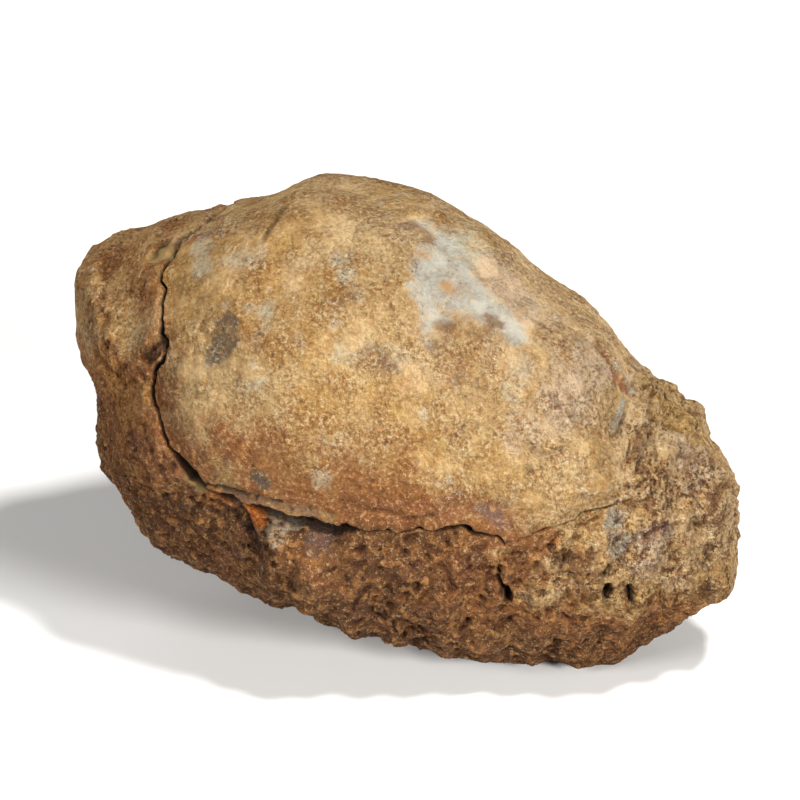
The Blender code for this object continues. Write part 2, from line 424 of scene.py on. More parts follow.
ROW = row_numbers()
TURN, SIDE = ball_angles(ROW)
print(f"rows {ROW.min():.0f} to {ROW.max():.0f}, turns {TURN.min():.0f} to {TURN.max():.0f}")

# %% Which way the columns cross the seam


def smoothed_loop(values, width):
    """A running mean round a closed loop."""
    kernel = np.hanning(width + 2)[1:-1]
    kernel /= kernel.sum()
    padded = np.concatenate([values[-width - 1 : -1], values, values[1 : width + 1]])
    return np.convolve(padded, kernel, mode="same")[width:-width]


def unrolled(longitude):
    """Longitude without its jump, as an offset from the column's turn."""
    offset = longitude - SEAM[:, 0]
    return (offset + 180.0) % 360.0 - 180.0


def across_direction(offset, latitude):
    """What 1 mm at right angles to the seam is in degrees, and what a degree up is in mm."""
    longitude = SEAM[:, 0] + offset
    here = lump_point(longitude, latitude)
    tiny = 0.05
    east = (lump_point(longitude + tiny, latitude) - here) / tiny
    north = (lump_point(longitude, latitude + tiny) - here) / tiny
    path = np.gradient(here, axis=0)
    normal = np.cross(east, north)
    side = np.cross(normal, path)
    side /= np.linalg.norm(side, axis=1, keepdims=True)
    ee, nn, en = ((a * b).sum(axis=1) for a, b in ((east, east), (north, north), (east, north)))
    se, sn = (side * east).sum(axis=1), (side * north).sum(axis=1)
    base = ee * nn - en * en
    return (se * nn - sn * en) / base, (sn * ee - se * en) / base, np.sqrt(nn)


seam_offset = unrolled(SEAM[:, 1])
smooth_offset = smoothed_loop(seam_offset, PATH_SMOOTHING)
smooth_latitude = smoothed_loop(SEAM[:, 2], PATH_SMOOTHING)
drift_east, drift_north, mm_north = across_direction(
    smoothed_loop(seam_offset, 6 * PATH_SMOOTHING), smoothed_loop(SEAM[:, 2], 6 * PATH_SMOOTHING))
print(f"a degree up from the seam is {mm_north.min():.2f} to {mm_north.max():.2f} mm")

# %% The crack's section
CHIP_FINENESS, CHIPPING = 14.0, 0.45  # the crack's walls are chipped: their width varies


def at_turn(values):
    """A value of the seam, looked up for every vertex by its column."""
    return np.interp(TURN, SEAM[:, 0], values)


def band_reach():
    """How far from the seam the band rows go, in mm: further where the crack is wide."""
    return BAND_MARGIN + 1.3 * at_turn(SEAM[:, 3]) + 0.8 * at_turn(SEAM[:, 5])


def chipped(values, shift):
    """Widths that vary along the seam, as on a broken edge."""
    return values * (1.0 + CHIPPING * at_turn(seam_noise(CHIP_FINENESS, shift, 0.7, 4)))


def crack_profile():
    """The crack's section: distance from the seam, and height, of every vertex in the band."""
    width, depth, lip = at_turn(SEAM[:, 3]), at_turn(SEAM[:, 4]), at_turn(SEAM[:, 5])
    width, lip = chipped(width, 3.0), chipped(lip, 8.0)
    reach = band_reach()
    nothing = np.zeros(len(TURN))
    thick = 0.10 * depth + 0.35 * lip
    section = (  # place in the band, distance in mm, height in mm
        (-1.00, -reach, nothing),
        (-0.62, -width - 0.2, nothing),
        (-0.50, -width - 0.05, -0.04 * depth),
        (-0.42, -width, -0.25 * depth),
        (-0.30, -0.85 * width, -0.75 * depth),
        (-0.12, -0.45 * width, -0.97 * depth),
        (0.00, nothing, -depth),
        (0.15, 0.55 * width, -0.97 * depth),
        (0.30, 0.95 * width, -0.8 * depth),
        (0.42, width, -0.45 * depth),
        (0.50, width - 0.7 * lip, -thick - 0.06 * depth),
        (0.57, width - lip, -0.6 * thick),
        (0.64, width - lip + 0.04, -0.05 * thick),
        (0.72, width - 0.5 * lip + 0.2, nothing),
        (1.00, reach, nothing),
    )
    place = np.clip(ROW / BAND_ROWS, -1.0, 1.0)
    distance, height = np.zeros(len(TURN)), np.zeros(len(TURN))
    for (a, da, ha), (b, db, hb) in zip(section, section[1:]):
        inside = (place >= a) & (place <= b)
        t = (place - a) / (b - a)
        distance = np.where(inside, da + (db - da) * t, distance)
        height = np.where(inside, ha + (hb - ha) * t, height)
    return distance, height


DISTANCE, CRACK = crack_profile()
print(f"the crack is {-CRACK.min():.1f} mm deep at most")

# %% Where every vertex goes


def laid_out(distance):
    """Longitude and latitude of every vertex: by the seam near it, and even far from it."""
    band_side = 45.0 * BAND_ROWS * BAND_STEP / 90.0
    x = np.clip((np.abs(SIDE) - band_side) / (1.0 - band_side), 0.0, 1.0)
    sign = np.where(ROW >= 0.0, 1.0, -1.0)
    latitude, per_degree = at_turn(smooth_latitude), at_turn(mm_north)
    reach = band_reach()
    band = reach / per_degree
    span = 90.0 - sign * latitude
    away = band + (span - band) * (ROW_EASE * x + (1.0 - ROW_EASE) * x * x)
    far = np.abs(ROW) > BAND_ROWS
    distance = np.where(far, sign * away * per_degree, distance)
    jog = smooth_step(reach, 0.0, np.abs(distance))
    crossing = np.sign(distance) * CROSSING * np.tanh(np.abs(distance) / CROSSING)
    crossing = np.where(far, crossing, distance)
    rest = np.where(far, sign * away - crossing / per_degree, 0.0)
    east = at_turn(smooth_offset) + jog * at_turn(seam_offset - smooth_offset)
    north = latitude + jog * at_turn(SEAM[:, 2] - smooth_latitude)
    east = east + at_turn(drift_east) * crossing
    north = north + at_turn(drift_north) * crossing + rest
    share = smooth_step(0.0, 0.5, x)
    even = latitude + sign * away
    return TURN + east * (1.0 - share), north * (1.0 - share) + even * share


LAID_OUT = direction(*laid_out(DISTANCE))
print(f"{len(LAID_OUT)} vertices are laid out round the seam")

# %% Relaxing the mesh
RELAX_ROUNDS = 160
RELAX_REACH = (0.75, 0.5)  # of the way to the poles, where relaxing fades out


def edge_array(mesh):
    flat = np.empty(len(mesh.edges) * 2, dtype=np.int32)
    mesh.edges.foreach_get("vertices", flat)
    return flat.reshape(-1, 2)


def relaxed(directions, edges, freedom):
    """Moves each free vertex step by step to the middle of its neighbours, on the ball."""
    count = len(directions)
    ends = np.concatenate([edges[:, 0], edges[:, 1]])
    others = np.concatenate([edges[:, 1], edges[:, 0]])
    number = np.bincount(ends, minlength=count)[:, None]
    for _ in range(RELAX_ROUNDS):
        sums = [np.bincount(ends, column[others], count) for column in directions.T]
        middle = np.stack(sums, axis=1) / number
        directions = unit(directions + freedom[:, None] * (middle - directions))
    return directions


closed = smooth_step(0.3, 0.1, at_turn(SEAM[:, 4]))
freedom = np.where(np.abs(ROW) > BAND_ROWS, smooth_step(*RELAX_REACH, np.abs(SIDE)), closed)
BALL = relaxed(LAID_OUT, edge_array(stone_mesh), freedom)
SMOOTH = lump(BALL)
OUTWARD = lump_normals(BALL)
print(f"lump: {np.round(np.ptp(SMOOTH, axis=0), 1)} mm")

# %% [markdown]
# ## Ribs, axis and weathering
# Below the seam the thorax carries ribs, worn almost flat, that lean a little as they rise. Down
# the middle of the underside runs the raised axis between two furrows. The shield's edge is
# rounded at the front and stands proud further on, and where it has split, its inner layer
# stands back as a ledge. Slow waves are what the weather has left. All of them follow a rule, so
# each is a function of the place on the lump, added along the direction that the surface faces.

# %% Sizes of the relief
RIB_PITCH, RIB_HEIGHT, RIB_LEAN = 4.18, 0.3, 0.19
RIBS_FADE_IN = (-15.0, -5.0)  # along x
WORN_LEVEL = (-20.5, -15.0)  # the foot is worn flat up to here
AXIS_SHARE, AXIS_RISE = 0.36, 0.8
FURROW_DEPTH, FURROW_SHARE = 0.6, 0.09
LIP_RISE, LIP_REACH, UNDERCUT = 0.45, 2.6, 0.5
NECK_WIDTH, NECK_DEPTH = 1.8, 0.7
FRONT_EDGE, FRONT_ROUNDING = (-122.0, -128.0), 0.45  # here the dome's edge is rounded off
GAPE_AT, GAPE_WIDTH = -104.0, 16.0  # the longitude at which the crack gapes
CRACK_CLOSES = (64.0, 46.0)  # degrees from the thorax end
LEDGE_STEP = 0.5  # where the shield's edge has split, its inner layer stands back by this much
LEDGE_FROM, LEDGE_TO = (-121.0, -116.0), (-90.0, -98.0)  # longitudes
LEDGE_FOOT, LEDGE_TOP = (0.05, 0.3), (1.72, 1.58)  # mm above the seam
WAVE_COUNT, WAVE_LENGTH, WAVE_HEIGHT, WAVE_SEED = 14, (7.0, 20.0), 0.16, 7
DOME_SMOOTHNESS = 0.55  # the share of the waves that the dome keeps
print(f"{RIB_PITCH} mm from rib to rib")

# %% Distance from the seam, and the places that depend on it


def search_tree(points):
    """Finds the nearest of many points quickly."""
    tree = kdtree.KDTree(len(points))
    for number, point in enumerate(points):
        tree.insert(point, number)
    tree.balance()
    return tree


def distance_from_seam():
    """Signed distance to the nearest point of the seam: + on the dome, - on the thorax and tail."""
    tree = search_tree(lump_point(SEAM[:, 1], SEAM[:, 2]))
    found = np.array([tree.find(point)[2] for point in SMOOTH])
    return np.where(ROW >= 0.0, found, -found)


ACROSS = distance_from_seam()
TURN_NOW = np.degrees(np.arctan2(BALL[:, 1], BALL[:, 0]))
GAPE = bump(TURN_NOW, GAPE_AT, GAPE_WIDTH)
OPEN = 1.0 - smooth_step(*CRACK_CLOSES, np.abs(TURN_NOW))
UNWORN = smooth_step(*WORN_LEVEL, SMOOTH[:, 2])
edge_wanders = 0.12 * np.sin(TURN_NOW * 1.1) + 0.1 * np.sin(TURN_NOW * 2.7)
LEDGE = (smooth_step(*LEDGE_FOOT, ACROSS) * smooth_step(*LEDGE_TOP, ACROSS + edge_wanders)
         * smooth_step(*LEDGE_FROM, TURN_NOW) * smooth_step(*LEDGE_TO, TURN_NOW))
print(f"{(LEDGE > 0.5).sum()} vertices lie on the ledge")

# %% Relief that follows a rule


def rib_relief():
    along = SMOOTH[:, 0] - RIB_LEAN * (SMOOTH[:, 2] + 5.0)
    wave = np.cos(2.0 * math.pi * along / RIB_PITCH)
    below = smooth_step(-0.8, -3.5, ACROSS)
    start = smooth_step(*RIBS_FADE_IN, SMOOTH[:, 0])
    return RIB_HEIGHT * wave * below * (0.3 + 0.7 * start) * UNWORN


def axis_relief():
    half = profile(HALF_WIDTH, (SMOOTH[:, 0] - MIDDLE_X) / HALF_LENGTH)
    share = np.abs(SMOOTH[:, 1]) / half
    lobe = AXIS_RISE * smooth_step(AXIS_SHARE, AXIS_SHARE * 0.5, share)
    furrow = FURROW_DEPTH * bump(share, AXIS_SHARE, FURROW_SHARE)
    return (lobe - furrow) * smooth_step(-5.0, -12.0, ACROSS) * (0.3 + 0.7 * UNWORN)


def weathering():
    rng = np.random.default_rng(WAVE_SEED)
    total = np.zeros(len(SMOOTH))
    for _ in range(WAVE_COUNT):
        way = unit(rng.normal(size=3))
        length = rng.uniform(*WAVE_LENGTH)
        phase = rng.uniform(0.0, 2.0 * math.pi)
        total += np.sin(SMOOTH @ way * 2.0 * math.pi / length + phase)
    return WAVE_HEIGHT * total * (1.0 + (DOME_SMOOTHNESS - 1.0) * smooth_step(0.0, 5.0, ACROSS))


def margin_relief():
    """The dome's edge stands proud of the crack, and the other edge lies back under it."""
    lip = LIP_RISE * smooth_step(-0.2, 0.5, ACROSS) * smooth_step(LIP_REACH, 0.6, ACROSS)
    undercut = UNDERCUT * smooth_step(0.2, -0.8, ACROSS) * smooth_step(-4.0, -1.0, ACROSS)
    neck = NECK_DEPTH * bump(ACROSS, 0.0, NECK_WIDTH) * (1.0 - OPEN)
    front = smooth_step(*FRONT_EDGE, TURN_NOW)
    proud = OPEN * (0.35 + 0.65 * GAPE) * (1.0 - front) - FRONT_ROUNDING * front
    return (lip - undercut) * proud - neck - LEDGE_STEP * LEDGE


RELIEF = rib_relief() + axis_relief() + weathering() + margin_relief()
print(f"relief from {RELIEF.min():.2f} to {RELIEF.max():.2f} mm")

# %% [markdown]
# ## Crumbs, flakes and pits
# The shield's face is dense and smooth, while the stone below the seam is crumbly: lumps of a few
# millimetres carry crumbs of one millimetre, with pits between them. Each is a layer of noise
# with its own size and height. How much of each layer shows depends on a mask, so that the
# rough parts of the fossil are rough and the smooth shield stays calm. Every layer reads another
# part of the noise, by a shift of its own, so that no two of them look alike.

# %% Layers of noise, and where the stone is crumbly
CRUMBLY_NECK = (14.0, 24.0)  # along x, where the thorax end grows rough


def noise_layer(size, octaves, shift):
    """Fractal noise at every vertex, with features of this size in mm."""
    places = (SMOOTH / size + shift).tolist()
    return np.array([noise.fractal(p, 1.0, 2.0, octaves) for p in places])


def pebble_layer(size, shift):
    """Rounded pebbles: 1 in the middle of each cell and 0 in the joints."""
    places = (SMOOTH / size + shift).tolist()
    gaps = np.array([noise.voronoi(p)[0][:2] for p in places])
    return np.clip((gaps[:, 1] - gaps[:, 0]) * 1.6, 0.0, 1.0)


LEVEL = SMOOTH[:, 2]
below_seam = smooth_step(0.3, -2.2, ACROSS)
BROAD = noise_layer(6.0, 3, 11.0)
PATCHY = noise_layer(3.2, 3, 29.0)
CRUMBLE = below_seam * (0.4 + 0.4 * smooth_step(10.0, -2.0, LEVEL))
CRUMBLE += 0.10 + 0.35 * smooth_step(*CRUMBLY_NECK, SMOOTH[:, 0])
CRUMBLE = np.clip(CRUMBLE + 0.35 * BROAD + 0.3 * PATCHY, 0.0, 1.0) * (1.0 - LEDGE)
print(f"{CRUMBLE.mean():.0%} crumbly on average")

# %% Lumps, crumbs, creases, pits and flakes
LUMP_HEIGHT, CRUMB_HEIGHT, GRAIN_HEIGHT, KNOB_HEIGHT = 0.32, 0.26, 0.2, 0.32
CREASE_DEPTH, PIT_DEPTH = 0.45, 0.42
FLAKE_SHEETS, FLAKE_HEIGHT = 5.0, 0.13
CRACK_CALM = 0.7  # mm beside the seam where the crumbs are lower, so that its edge stays clear


def crumb_relief():
    """The lumps, and all that is finer: the colour follows the fine part alone."""
    lumps = LUMP_HEIGHT * noise_layer(4.0, 2, 3.0) * (0.25 + 0.75 * CRUMBLE)
    crumbs = CRUMB_HEIGHT * (pebble_layer(1.5, 5.0) - 0.5) * smooth_step(0.25, 0.8, CRUMBLE)
    clusters = 0.35 * smooth_step(-0.05, 0.35, PATCHY)
    clusters += 0.3 * smooth_step(14.0, 6.0, LEVEL)
    grains = GRAIN_HEIGHT * noise_layer(0.9, 2, 7.0) * (0.3 + clusters + 0.5 * CRUMBLE)
    folded = np.abs(noise_layer(2.1, 4, 83.0)) - 0.2
    knobs = KNOB_HEIGHT * folded * smooth_step(0.3, 0.8, CRUMBLE)
    winding = np.abs(noise_layer(3.0, 3, 61.0))
    parted = smooth_step(0.10, 0.35, noise_layer(5.0, 2, 67.0)) * smooth_step(0.3, 0.7, CRUMBLE)
    creases = -CREASE_DEPTH * smooth_step(0.09, 0.02, winding) * parted
    pitted = smooth_step(0.22, 0.6, noise_layer(1.1, 2, 23.0))
    pits = -PIT_DEPTH * pitted * smooth_step(0.2, 0.7, CRUMBLE)
    return lumps, knobs + crumbs + grains + creases + pits


def flake_relief():
    """Thin flakes with sharp edges, where the shell has split off in sheets."""
    steps = noise_layer(7.0, 3, 41.0) * FLAKE_SHEETS
    floor = np.floor(steps)
    sheet = floor + smooth_step(0.42, 0.58, steps - floor)
    where = smooth_step(2.0, 14.0, SMOOTH[:, 0]) * smooth_step(-1.0, 2.0, ACROSS)
    return FLAKE_HEIGHT * (sheet - steps) * (0.3 + 0.7 * where)


away_from_crack = smooth_step(0.0, CRACK_CALM, np.abs(ACROSS))
LUMPS, FINE_RELIEF = crumb_relief()
ROUGHNESS_RELIEF = (LUMPS + FINE_RELIEF) * (0.35 + 0.65 * away_from_crack) + flake_relief()
print(f"crumbs and flakes from {ROUGHNESS_RELIEF.min():.2f} to {ROUGHNESS_RELIEF.max():.2f} mm")

# %% [markdown]
# ## Slits, holes and other small marks in the surface
# A fossil has marks that follow no rule: a slit where a rib has parted, little holes, a splinter
# let into the crack. Each is a short path over the surface with a width and a depth, and its
# stops are longitudes and latitudes, as those of the seam are. A path is laid on the lump by
# moving its stops to the nearest vertex, so it can't miss the surface. Narrow and deep marks are
# also dark inside, because little light gets in, and so are a few fine lines.

# %% The marks that are cut or raised
FURROW_ONE = ((-118.5, -4.5), (-114.9, -6.5), (-111.7, -10.3), (-110, -13))
FURROW_TWO = ((-115.4, -1.6), (-112.6, -4.7), (-110.8, -14.5))
CUTS = (  # name, half width, depth (+ is raised), stops
    ("slit", 0.17, -1.1, ((-66.9, -6.5), (-67.3, -8.9), (-66.5, -11.1), (-66, -14))),
    ("slit's ragged foot", 0.4, -1.3, ((-65.7, -12.9), (-64.9, -14.7), (-65, -17))),
    ("upper hole", 0.3, -1.1, ((-46, -5), (-46.2, -6.8))),
    ("lower hole", 0.34, -1.4, ((-45, -9), (-45, -12))),
    ("joint of the holes", 0.3, -0.5, ((-47, -6), (-46, -11))),
    ("right hole", 0.3, -1.3, ((-40, -9.4), (-39, -12.5))),
    ("right hair hole", 0.22, -0.7, ((-40, -7), (-40, -9.4))),
    ("rib pit one", 0.3, -0.3, ((-27, 9), (-28, 7))),
    ("rib pit two", 0.4, -0.5, ((-30, -12), (-30, -13))),
    ("rib pit three", 0.5, -0.6, ((-19, 7), (-19, 5))),
    ("rib pit four", 0.5, -0.8, ((-30, 19), (-30.4, 17.2))),
    ("tail hollow one", 0.9, -0.5, ((-16, -2), (-16, -4))),
    ("tail hollow two", 1, -0.6, ((-14, -11), (-14, -14))),
    ("top branch", 0.16, -0.5, ((-166, 37), (-165.1, 38.5), (-163.2, 41.5), (-166, 44))),
    ("sheared facet", 1, -0.5, ((-162, 36), (-161, 39))),
    ("splinter bed", 0.75, -0.9, ((-138.8, 24.8), (-140, 22), (-141, 21))),
    ("splinter", 0.28, 0.75, ((-138.5, 23.8), (-140, 21))),
    ("eye slit", 0.3, -0.35, ((-143, 58), (-151, 62), (-165.3, 65.6))),
    ("neck scar", 0.42, -0.4, ((-6.9, 55.4), (-10, 52), (-11, 50), (-15, 47), (-12.7, 44.5),
     (-8, 43.8))),
    ("flake over the scar", 0.35, 0.3, ((-7, 50.3), (-7.8, 47.3), (-6, 44))),
    ("bar in the neck", 0.35, 0.25, ((-18, 43), (-23.2, 40.4), (-32.7, 34.8))),
    ("ledge's upper edge", 0.2, -0.45, ((-121.6, -0.2), (-116.7, -0.2), (-113, 0), (-110, 0),
     (-106, 0), (-103.5, -1))),
    ("crease by the rib", 0.3, -0.5, ((-26, 14), (-25, 10), (-29, 5))),
    ("crease behind the neck", 0.35, -0.5, ((-33, 23), (-25, 31), (-17, 34.5), (-11, 39))),
    ("crease on the ring", 0.35, -0.4, ((-4, 29), (-9, 22), (-15, 14))),
    ("rock edge at the tail", 0.7, 0.5, ((-25, -8), (-18, -12), (-11, -11))),
    ("flake on the flank one", 0.22, -0.3, ((-59, 27), (-57.4, 23), (-53.8, 24.8), (-48.5, 28.7))),
    ("flake on the flank two", 0.22, -0.3, ((-74.4, 23.6), (-71, 30), (-68, 29), (-63, 38),
     (-59.6, 43.9))),
    ("pit on the flank", 0.35, -0.5, ((-61, 19), (-61, 18))),
    ("gap beside the bar", 0.2, -0.3, ((-18, 42), (-23, 39), (-32.4, 33.6))),
    ("neck hollow", 0.7, -0.6, ((-6, 41), (-9, 40))),
    ("slanting furrow one", 0.36, -0.75, FURROW_ONE),
    ("slanting furrow two", 0.34, -0.7, FURROW_TWO),
    ("line along the lip", 0.18, -0.4, ((-94.2, 3.4), (-91, 3), (-86.9, 2.4), (-82.4, 1.7),
     (-78.3, 2.8))),
    ("flaky line by the corner", 0.2, -0.16, ((-68, 12), (-67.3, 9), (-66, 6), (-65, 1))),
    ("hollow in the low front", 0.8, -0.45, ((-121.9, -16.4), (-118.9, -19.3))),
    ("row of low pits", 0.6, -0.5, ((-107.5, -20.4), (-104.1, -19.6), (-100.4, -17.8))),
)
DARK_LINES = {"ledge's upper edge": 0.75, "line along the lip": 0.3, "top branch": 0.8,
              "slanting furrow one": 0.45, "slanting furrow two": 0.45,
              "crease behind the neck": 0.35, "splinter bed": 0.6, "eye slit": 0.3,
              "gap beside the bar": 0.5}  # how much painted shadow these get inside, 0 to 1
print(f"{len(CUTS)} marks, {len(DARK_LINES)} of them dark lines")

# %% Laying the marks on the lump
STONE_POINTS = search_tree(SMOOTH)
RAGGED = noise_layer(1.1, 2, 17.0)
DARK_DEPTH, DARK_WIDTH = -0.9, 0.6  # a cut that is deeper and narrower than this gets painted shadow inside


def distance_to_path(points):
    """Distance in mm from every vertex to the path through the vertices nearest these points."""
    stops = [SMOOTH[STONE_POINTS.find(point)[1]] for point in points]
    best = np.full(len(SMOOTH), 1e9)
    for a, b in zip(stops, stops[1:]):
        along = b - a
        share = np.clip((SMOOTH - a) @ along / (along @ along + 1e-9), 0.0, 1.0)
        best = np.minimum(best, np.linalg.norm(SMOOTH - a - share[:, None] * along, axis=1))
    return best


def cut_relief():
    total, hollow = np.zeros(len(SMOOTH)), np.zeros(len(SMOOTH))
    for name, half_width, depth, stops in CUTS:
        path = lump_point(*np.transpose(stops))
        distance = distance_to_path(path) + 0.25 * half_width * RAGGED
        share = smooth_step(half_width * 1.25, half_width * 0.45, distance)
        total += depth * share
        narrow_and_deep = depth < DARK_DEPTH and half_width < DARK_WIDTH
        # hollow: how much painted shadow the mark gets inside, for the narrow deep marks and the
        # dark lines
        hollow = np.maximum(hollow, share * DARK_LINES.get(name, float(narrow_and_deep)))
    return total, hollow


CUT, HOLLOW = cut_relief()
print(f"the marks go from {CUT.min():.2f} to {CUT.max():.2f} mm")

# %% [markdown]
# ## The finished stone mesh
# All the reliefs are added along the surface's own direction. The foot is worn flat where the
# lump lies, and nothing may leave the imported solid's box, so the last half millimetre before a
# side of the box squeezes what would stick out.

# %% Put the reliefs on and fit the box
BASE_TO_FRAME = np.array([-0.2513, 0.3457, 19.6])  # from the seam's coordinates to the solid's
SQUEEZE = 0.5
CLEAR = 0.01


def squeezed(points):
    """Keeps points inside the solid's box, without a sharp edge at its sides."""
    low, high = LOW + CLEAR, HIGH - CLEAR
    low[2] = LOW[2]
    over = np.maximum(points - (high - SQUEEZE), 0.0)
    points = points - over + SQUEEZE * (1.0 - np.exp(-over / SQUEEZE))
    under = np.maximum(low + SQUEEZE - points, 0.0)
    under[:, 2] = 0.0
    points = points + under - SQUEEZE * (1.0 - np.exp(-under / SQUEEZE))
    return np.maximum(points, low)


height = CRACK + RELIEF + ROUGHNESS_RELIEF + CUT
shaped = squeezed(SMOOTH + OUTWARD * height[:, None] + BASE_TO_FRAME)
place_vertices(stone_mesh, shaped * MM)
stone_mesh.polygons.foreach_set("use_smooth", [True] * len(stone_mesh.polygons))
stone_mesh.update()
stone = new_object("stone", stone_mesh)
print(f"stone: {np.round(np.ptp(shaped, axis=0), 2)} mm, {2 * len(stone_mesh.polygons)} triangles")

# %% [markdown]
# ## Stains
# Iron has stained the stone in every brown from straw to rust, and some minerals have left
# their own marks: a dark gray spot on the shield, a pale bloom where the shell was thicker, a
# bright orange crumb in the crack. An image could hold them, but it would have to be wrapped
# round the lump. Here each stain is a path over the surface, as the cuts are, with a colour
# and a strength, and they are stored on the vertices. The material roughens their edges.

# %% The colours of the stains
SLATE, DUSK, MAUVE = (0.115, 0.093, 0.062), (0.17, 0.12, 0.085), (0.20, 0.115, 0.095)
BLOOM, CREAM, STRAW = (0.40, 0.395, 0.335), (0.52, 0.42, 0.27), (0.50, 0.31, 0.10)
RUST, ORANGE, BARK = (0.29, 0.105, 0.04), (0.62, 0.15, 0.008), (0.19, 0.092, 0.036)
TEAL, PINK, OLIVE = (0.30, 0.28, 0.22), (0.44, 0.27, 0.14), (0.28, 0.19, 0.07)
LEDGE_PINK, EMBER, PLUM = (0.29, 0.15, 0.08), (0.46, 0.15, 0.03), (0.12, 0.075, 0.07)
ROSE_TAN, PALE_GREEN = (0.58, 0.42, 0.27), (0.50, 0.47, 0.33)
ASH = (0.38, 0.325, 0.23)
AMBER_STAIN, OCHRE_STAIN = (0.52, 0.23, 0.055), (0.56, 0.33, 0.09)
CALM_COLOURS = (BLOOM, OLIVE)  # these lie on shell that is smooth
FADING_COLOURS = (BLOOM, ROSE_TAN, PALE_GREEN)  # these fade out slowly
LOOSE_COLOURS = (BLOOM, CREAM, STRAW, RUST, BARK, DUSK, TEAL, MAUVE)
print(f"{len(LOOSE_COLOURS)} colours may lie anywhere, {len(FADING_COLOURS)} fade out slowly")

